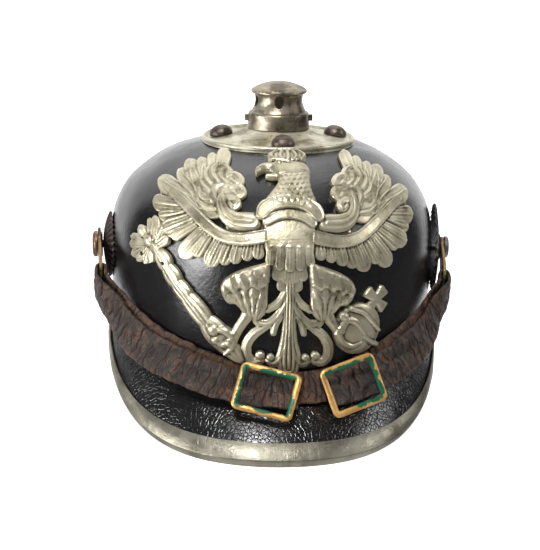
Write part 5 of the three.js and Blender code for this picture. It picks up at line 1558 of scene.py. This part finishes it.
def old_metal(name, bright, dull, stain, roughness, size=60.0, share=0.4, raised=False, shine=1.0):
    """Metal with clouded tarnish, dark hollows, rubbed edges and fine scratches; a raised one takes its
    hollows from the heights that its mesh keeps"""
    material, tree, shader = new_finish(name)
    where = spots_of(tree)
    marks = use_group(tree, TARNISH, Size=size, Share=share)
    lines = use_group(tree, SCUFFS, Length=40.0)["Lines"]
    colour = blend(tree, spread(tree, marks["Clouds"], 0.35, 0.68), bright, dull)
    colour = blend(tree, part_of(tree, 0.6, marks["Patches"]), colour, stain)
    colour = blend(tree, part_of(tree, 0.45, marks["Specks"]), colour, stain)
    if raised:
        deep = mark_of(tree, "hollow")
        dark = spread(tree, deep, 0.0, 0.42)
        proud = spread(tree, deep, -0.08, -0.5)
    else:
        wear = use_group(tree, WEAR, Start=0.53, Full=0.62)
        dark, proud = wear["Hollows"], wear["Edges"]
    colour = blend(tree, part_of(tree, 0.92, dark), colour, stain)
    colour = blend(tree, part_of(tree, 0.6, proud), colour, bright)
    colour = blend(tree, part_of(tree, 0.3, lines), colour, bright)
    cloudy = spread(tree, noise(tree, where, size * 1.7, 4), 0.3, 0.7, roughness - 0.08, roughness + 0.12)
    rough = math(tree, "ADD", cloudy, part_of(tree, 0.2, dark))
    grain = math(tree, "ADD", noise(tree, where, 420, 4), part_of(tree, 0.6, noise(tree, where, 1400, 2)))
    uneven = math(tree, "ADD", grain, part_of(tree, -0.2, lines))
    give(tree, shader, Base_Color=colour, Roughness=rough, Metallic=shine,
         Normal=bump(tree, uneven, 0.42, 0.0004))
    return material


def lug_brass():
    """Brass browned at the top, olive lower down, green with painted shade where it enters the strap"""
    material, tree, shader = new_finish("green brass")
    where = spots_of(tree)
    height = add_node(tree, "ShaderNodeSeparateXYZ", {"Vector": where}).outputs["Z"]
    cloud = noise(tree, where, 260, 4)
    level = math(tree, "ADD", height, part_of(tree, 0.006, cloud))
    green, olive, brown = shade(0.025, 0.06, 0.03), shade(0.23, 0.2, 0.08), shade(0.25, 0.155, 0.065)
    # lowest band: green verdigris darkened with painted shade where the lug sits in the strap's fold
    colour = blend(tree, spread(tree, level, 0.071, 0.0745), green, olive)
    colour = blend(tree, spread(tree, level, 0.0775, 0.082), colour, brown)
    colour = blend(tree, spread(tree, level, 0.0885, 0.091), colour, shade(0.07, 0.04, 0.025))
    specks = spread(tree, noise(tree, where, 500, 3), 0.55, 0.7, 0, 0.6)
    colour = blend(tree, specks, colour, shade(0.06, 0.04, 0.02))
    give(tree, shader, Base_Color=colour, Roughness=spread(tree, cloud, 0.3, 0.7, 0.34, 0.55), Metallic=0.55,
         Normal=bump(tree, cloud, 0.3, 0.0003))
    return material


def buckle_brass():
    """Worn brass, green at the places marked on it"""
    material, tree, shader = new_finish("golden brass")
    where = spots_of(tree)
    clouds = use_group(tree, TARNISH, Size=110.0)["Clouds"]
    dirt = use_group(tree, TARNISH, Size=210.0, Share=0.45)["Patches"]
    colour = blend(tree, spread(tree, clouds, 0.4, 0.62), shade(0.8, 0.47, 0.17), shade(0.62, 0.33, 0.1))
    colour = blend(tree, part_of(tree, 0.55, dirt), colour, shade(0.12, 0.055, 0.022))
    ragged = spread(tree, noise(tree, where, 420, 4), 0.25, 0.6, 0.55, 1.25)
    over = spread(tree, math(tree, "MULTIPLY", mark_of(tree, "green"), ragged), 0.3, 0.5)
    green = blend(tree, noise(tree, where, 300, 3), shade(0.0, 0.15, 0.05), shade(0.0, 0.03, 0.025))
    colour = blend(tree, over, colour, green)
    rough = spread(tree, noise(tree, where, 160, 4), 0.3, 0.7, 0.34, 0.56)
    height = math(tree, "ADD", noise(tree, where, 500, 4), part_of(tree, 0.8, over))
    give(tree, shader, Base_Color=colour, Roughness=rough, Metallic=spread(tree, over, 0, 1, 0.75, 0.1),
         Normal=bump(tree, height, 0.3, 0.0003))
    return material


def painted_tin(name, paint, worn, rub):
    material, tree, shader = new_finish(name)
    wear = use_group(tree, WEAR, Start=0.53, Full=0.62)
    marks = use_group(tree, TARNISH, Size=160.0, Share=0.35)
    colour = blend(tree, marks["Patches"], paint, worn)
    colour = blend(tree, part_of(tree, 0.45, wear["Edges"]), colour, rub)
    give(tree, shader, Base_Color=colour, Roughness=0.45, Metallic=0.2)
    return material


def dry_strap_leather():
    """Dark brown leather parted into rounded cells, with rust-rimmed cracks, rusty patches and a redder
    inner layer; painted shade in cell gaps, cracks and crease grooves, painted highlight on crease ridges"""
    material, tree, shader = new_finish("dry cracked leather")
    where = mark_of(tree, "strap_way", "Vector")
    crack, edge, inner = (mark_of(tree, name) for name in ("crack", "cut_edge", "inner"))
    blotch = noise(tree, where, 1.3, 5, 0.6)
    stirring = {"Vector": where, "Scale": 2.6, "Detail": 3.0}
    stir = add_node(tree, "ShaderNodeTexNoise", stirring).outputs["Color"]
    stirred = {"Vector": blend(tree, 0.2, where, stir), "Scale": (1.0, 0.5, 1.0)}
    tall = add_node(tree, "ShaderNodeMapping", stirred).outputs[0]
    gap = cells(tree, tall, 2.0, "DISTANCE_TO_EDGE")
    dome = spread(tree, gap, 0.0, 0.3)
    parted = spread(tree, gap, 0.012, 0.05, 1, 0)
    brown, pale_brown = shade(0.02, 0.015, 0.0125), shade(0.046, 0.0345, 0.028)
    colour = blend(tree, spread(tree, blotch, 0.36, 0.66), brown, pale_brown)
    rust = spread(tree, noise(tree, where, 0.9, 4, 0.65), 0.51, 0.64)
    colour = blend(tree, part_of(tree, 0.75, rust), colour, shade(0.095, 0.038, 0.016))
    rubbed = spread(tree, noise(tree, where, 2.4, 4, 0.6), 0.3, 0.62, 0.15, 0.85)
    colour = blend(tree, math(tree, "MULTIPLY", inner, rubbed), colour, shade(0.12, 0.056, 0.026))
    crumbly = math(tree, "MULTIPLY", edge, spread(tree, noise(tree, where, 3.2, 4), 0.35, 0.62))
    colour = blend(tree, part_of(tree, 0.8, crumbly), colour, shade(0.085, 0.042, 0.024))
    # Crease wrinkles: painted shade in the grooves and a painted highlight on the ridges, following the bump
    creased = noise(tree, where, 3, 4, 0.6, (5, 0.6, 1))
    fine = spread(tree, creased, 0.5, 0.62)
    colour = blend(tree, part_of(tree, 0.5, fine), colour, shade(0.009, 0.0062, 0.005))
    colour = blend(tree, spread(tree, creased, 0.42, 0.3, 0, 0.25), colour, shade(0.09, 0.064, 0.047))
    flake = cells(tree, blend(tree, 0.3, where, stir), 4.2, "DISTANCE_TO_EDGE")
    rims = spread(tree, flake, 0.02, 0.09, 1, 0)
    flaked = math(tree, "MULTIPLY", rims, spread(tree, blotch, 0.48, 0.6))
    colour = blend(tree, part_of(tree, 0.55, flaked), colour, shade(0.16, 0.09, 0.05))
    # painted shade in the gaps between the domed cells
    colour = blend(tree, parted, colour, shade(0.006, 0.005, 0.004))
    colour = blend(tree, spread(tree, crack, 0.04, 0.3, 0, 0.65), colour, shade(0.085, 0.03, 0.017))
    # painted shade at the bottom of the cracks; the rust rims around them are the leather's own colour
    colour = blend(tree, spread(tree, crack, 0.3, 0.55), colour, shade(0.004, 0.003, 0.0025))
    relief = math(tree, "SUBTRACT", part_of(tree, 1.6, dome), part_of(tree, 3.2, creased))
    height = math(tree, "ADD", relief, noise(tree, where, 16, 4))
    give(tree, shader, Base_Color=colour, Roughness=spread(tree, blotch, 0.3, 0.7, 0.36, 0.6),
         Normal=bump(tree, height, 0.75, 0.0007))
    return material


NICKEL = old_metal(
    "aged nickel", shade(0.33, 0.312, 0.25), shade(0.2, 0.185, 0.14), shade(0.1, 0.08, 0.05),
    roughness=0.4, shine=0.85)
EAGLE_NICKEL = old_metal(
    "aged nickel relief", shade(0.58, 0.535, 0.4), shade(0.37, 0.33, 0.22), shade(0.045, 0.034, 0.018),
    roughness=0.37, size=90.0, raised=True, shine=0.8)
NECK_NICKEL = old_metal(
    "browned nickel", shade(0.37, 0.325, 0.245), shade(0.2, 0.165, 0.115), shade(0.06, 0.045, 0.035),
    roughness=0.34, size=75.0, share=0.65, shine=0.9)
PALE_NICKEL = old_metal(
    "pale nickel", shade(0.64, 0.61, 0.49), shade(0.4, 0.365, 0.25), shade(0.15, 0.11, 0.055),
    roughness=0.4, size=80.0, share=0.55, shine=0.8)
DARK_NICKEL = old_metal(
    "black-brown nickel", shade(0.16, 0.13, 0.11), shade(0.09, 0.07, 0.058), shade(0.03, 0.022, 0.017),
    roughness=0.42, size=120.0)
BROWN_METAL = old_metal(
    "brown metal", shade(0.26, 0.155, 0.1), shade(0.13, 0.075, 0.048), shade(0.035, 0.02, 0.013),
    roughness=0.4, size=120.0)
STEEL = old_metal(
    "dull steel", shade(0.4, 0.39, 0.37), shade(0.26, 0.25, 0.23), shade(0.08, 0.06, 0.045), roughness=0.4)
BROWN_TIN = painted_tin(
    "browned tin", shade(0.02, 0.013, 0.011), shade(0.07, 0.036, 0.025), shade(0.1, 0.06, 0.045))
BLACK_TIN = painted_tin(
    "rubbed black tin", shade(0.007, 0.0066, 0.0066), shade(0.022, 0.017, 0.015), shade(0.05, 0.042, 0.036))

# Pieces
RAW_LEATHER, VISOR_LACQUER = raw_leather(), visor_lacquer()
make_skull(skull_lacquer(), RAW_LEATHER)
make_front_visor(VISOR_LACQUER, RAW_LEATHER)
make_trim(NICKEL)
make_rear_visor(VISOR_LACQUER, RAW_LEATHER)
make_spine(NICKEL)
make_base_plate(PALE_NICKEL)
make_neck(NECK_NICKEL)
make_studs(DARK_NICKEL)
make_posts({"left": BROWN_METAL, "right": STEEL})
make_cockades({"left": BROWN_TIN, "right": BLACK_TIN})
make_lugs(lug_brass())
make_strap(dry_strap_leather())
make_buckles(buckle_brass())
make_eagle(EAGLE_NICKEL)


# Studio: pale floor, soft lights and the camera of the photo
def make_floor():
    bm = bmesh.new()
    bmesh.ops.create_grid(bm, x_segments=1, y_segments=1, size=9)
    floor = as_object("studio_floor", bm)
    material, tree, shader = new_finish("pale floor")
    give(tree, shader, Base_Color=grey(0.85), Roughness=0.9, Specular_IOR_Level=0.1, Emission_Color=grey(1),
         Emission_Strength=0.95)
    floor.data.materials.append(material)
    floor.visible_glossy = False


LIGHTS = [  # name, place and aim in metres, size, watts
    ("top", (0.0, 0.7, 1.9), (0, 0, 0.1), 1.4, 9),
    ("key", (-0.3, -0.85, 1.45), (0, 0, 0.08), 0.36, 20),
    ("left", (-1.6, -0.35, 0.35), (0, 0, 0.08), 0.42, 9),
    ("low", (-0.5, -0.28, 0.04), (-0.06, -0.1, 0.07), 0.2, 1.8),
    ("right", (1.5, -0.3, 0.9), (0, 0, 0.08), 0.5, 6),
    ("back", (0.0, 1.7, 0.5), (0, 0, 0.1), 4.0, 60),
]


def make_lights():
    for name, place, aim, size, watts in LIGHTS:
        lamp = bpy.data.lights.new(f"{name}_light", "AREA")
        lamp.shape = "SQUARE"
        lamp.size = size
        lamp.energy = watts
        light = bpy.data.objects.new(f"{name}_light", lamp)
        light.location = place
        light.rotation_euler = (Vector(aim) - Vector(place)).to_track_quat("-Z", "Y").to_euler()
        light.visible_camera = False
        bpy.context.scene.collection.objects.link(light)
    world = bpy.data.worlds.new("studio")
    world.use_nodes = True
    tree = world.node_tree
    way = add_node(tree, "ShaderNodeTexCoord").outputs["Generated"]
    height = add_node(tree, "ShaderNodeSeparateXYZ", {"Vector": way})
    sky = tree.nodes["Background"]
    tree.links.new(spread(tree, height.outputs["Z"], -0.8, -0.45, 0.9, 0.1), sky.inputs["Strength"])
    sky.inputs["Color"].default_value = grey(1)
    bpy.context.scene.world = world


CAMERA = Sizes(target=(-3.16, 0.0, 64.2), away=880.0, turn=-4.4, rise=14.43, roll=1.0, lens=104.04)


def make_camera():
    turn, rise = radians(CAMERA.turn), radians(CAMERA.rise)
    back = Vector((sin(turn) * cos(rise), -cos(turn) * cos(rise), sin(rise)))
    right = Vector((0, 0, 1)).cross(back).normalized()
    up = back.cross(right)
    roll = radians(CAMERA.roll)
    x, y = right * cos(roll) + up * sin(roll), up * cos(roll) - right * sin(roll)
    data = bpy.data.cameras.new("photo_camera")
    data.lens = CAMERA.lens
    data.sensor_width = 36
    data.dof.use_dof = False
    data.clip_start = 0.01
    camera = bpy.data.objects.new("photo_camera", data)
    turned_to = Matrix((x, y, back)).transposed().to_4x4()
    place = AXIS + (Vector(CAMERA.target) + back * CAMERA.away) / 1000
    camera.matrix_world = Matrix.Translation(place) @ turned_to
    bpy.context.scene.collection.objects.link(camera)
    bpy.context.scene.camera = camera


make_floor()
make_lights()
make_camera()
bpy.context.scene.view_settings.view_transform = "Standard"
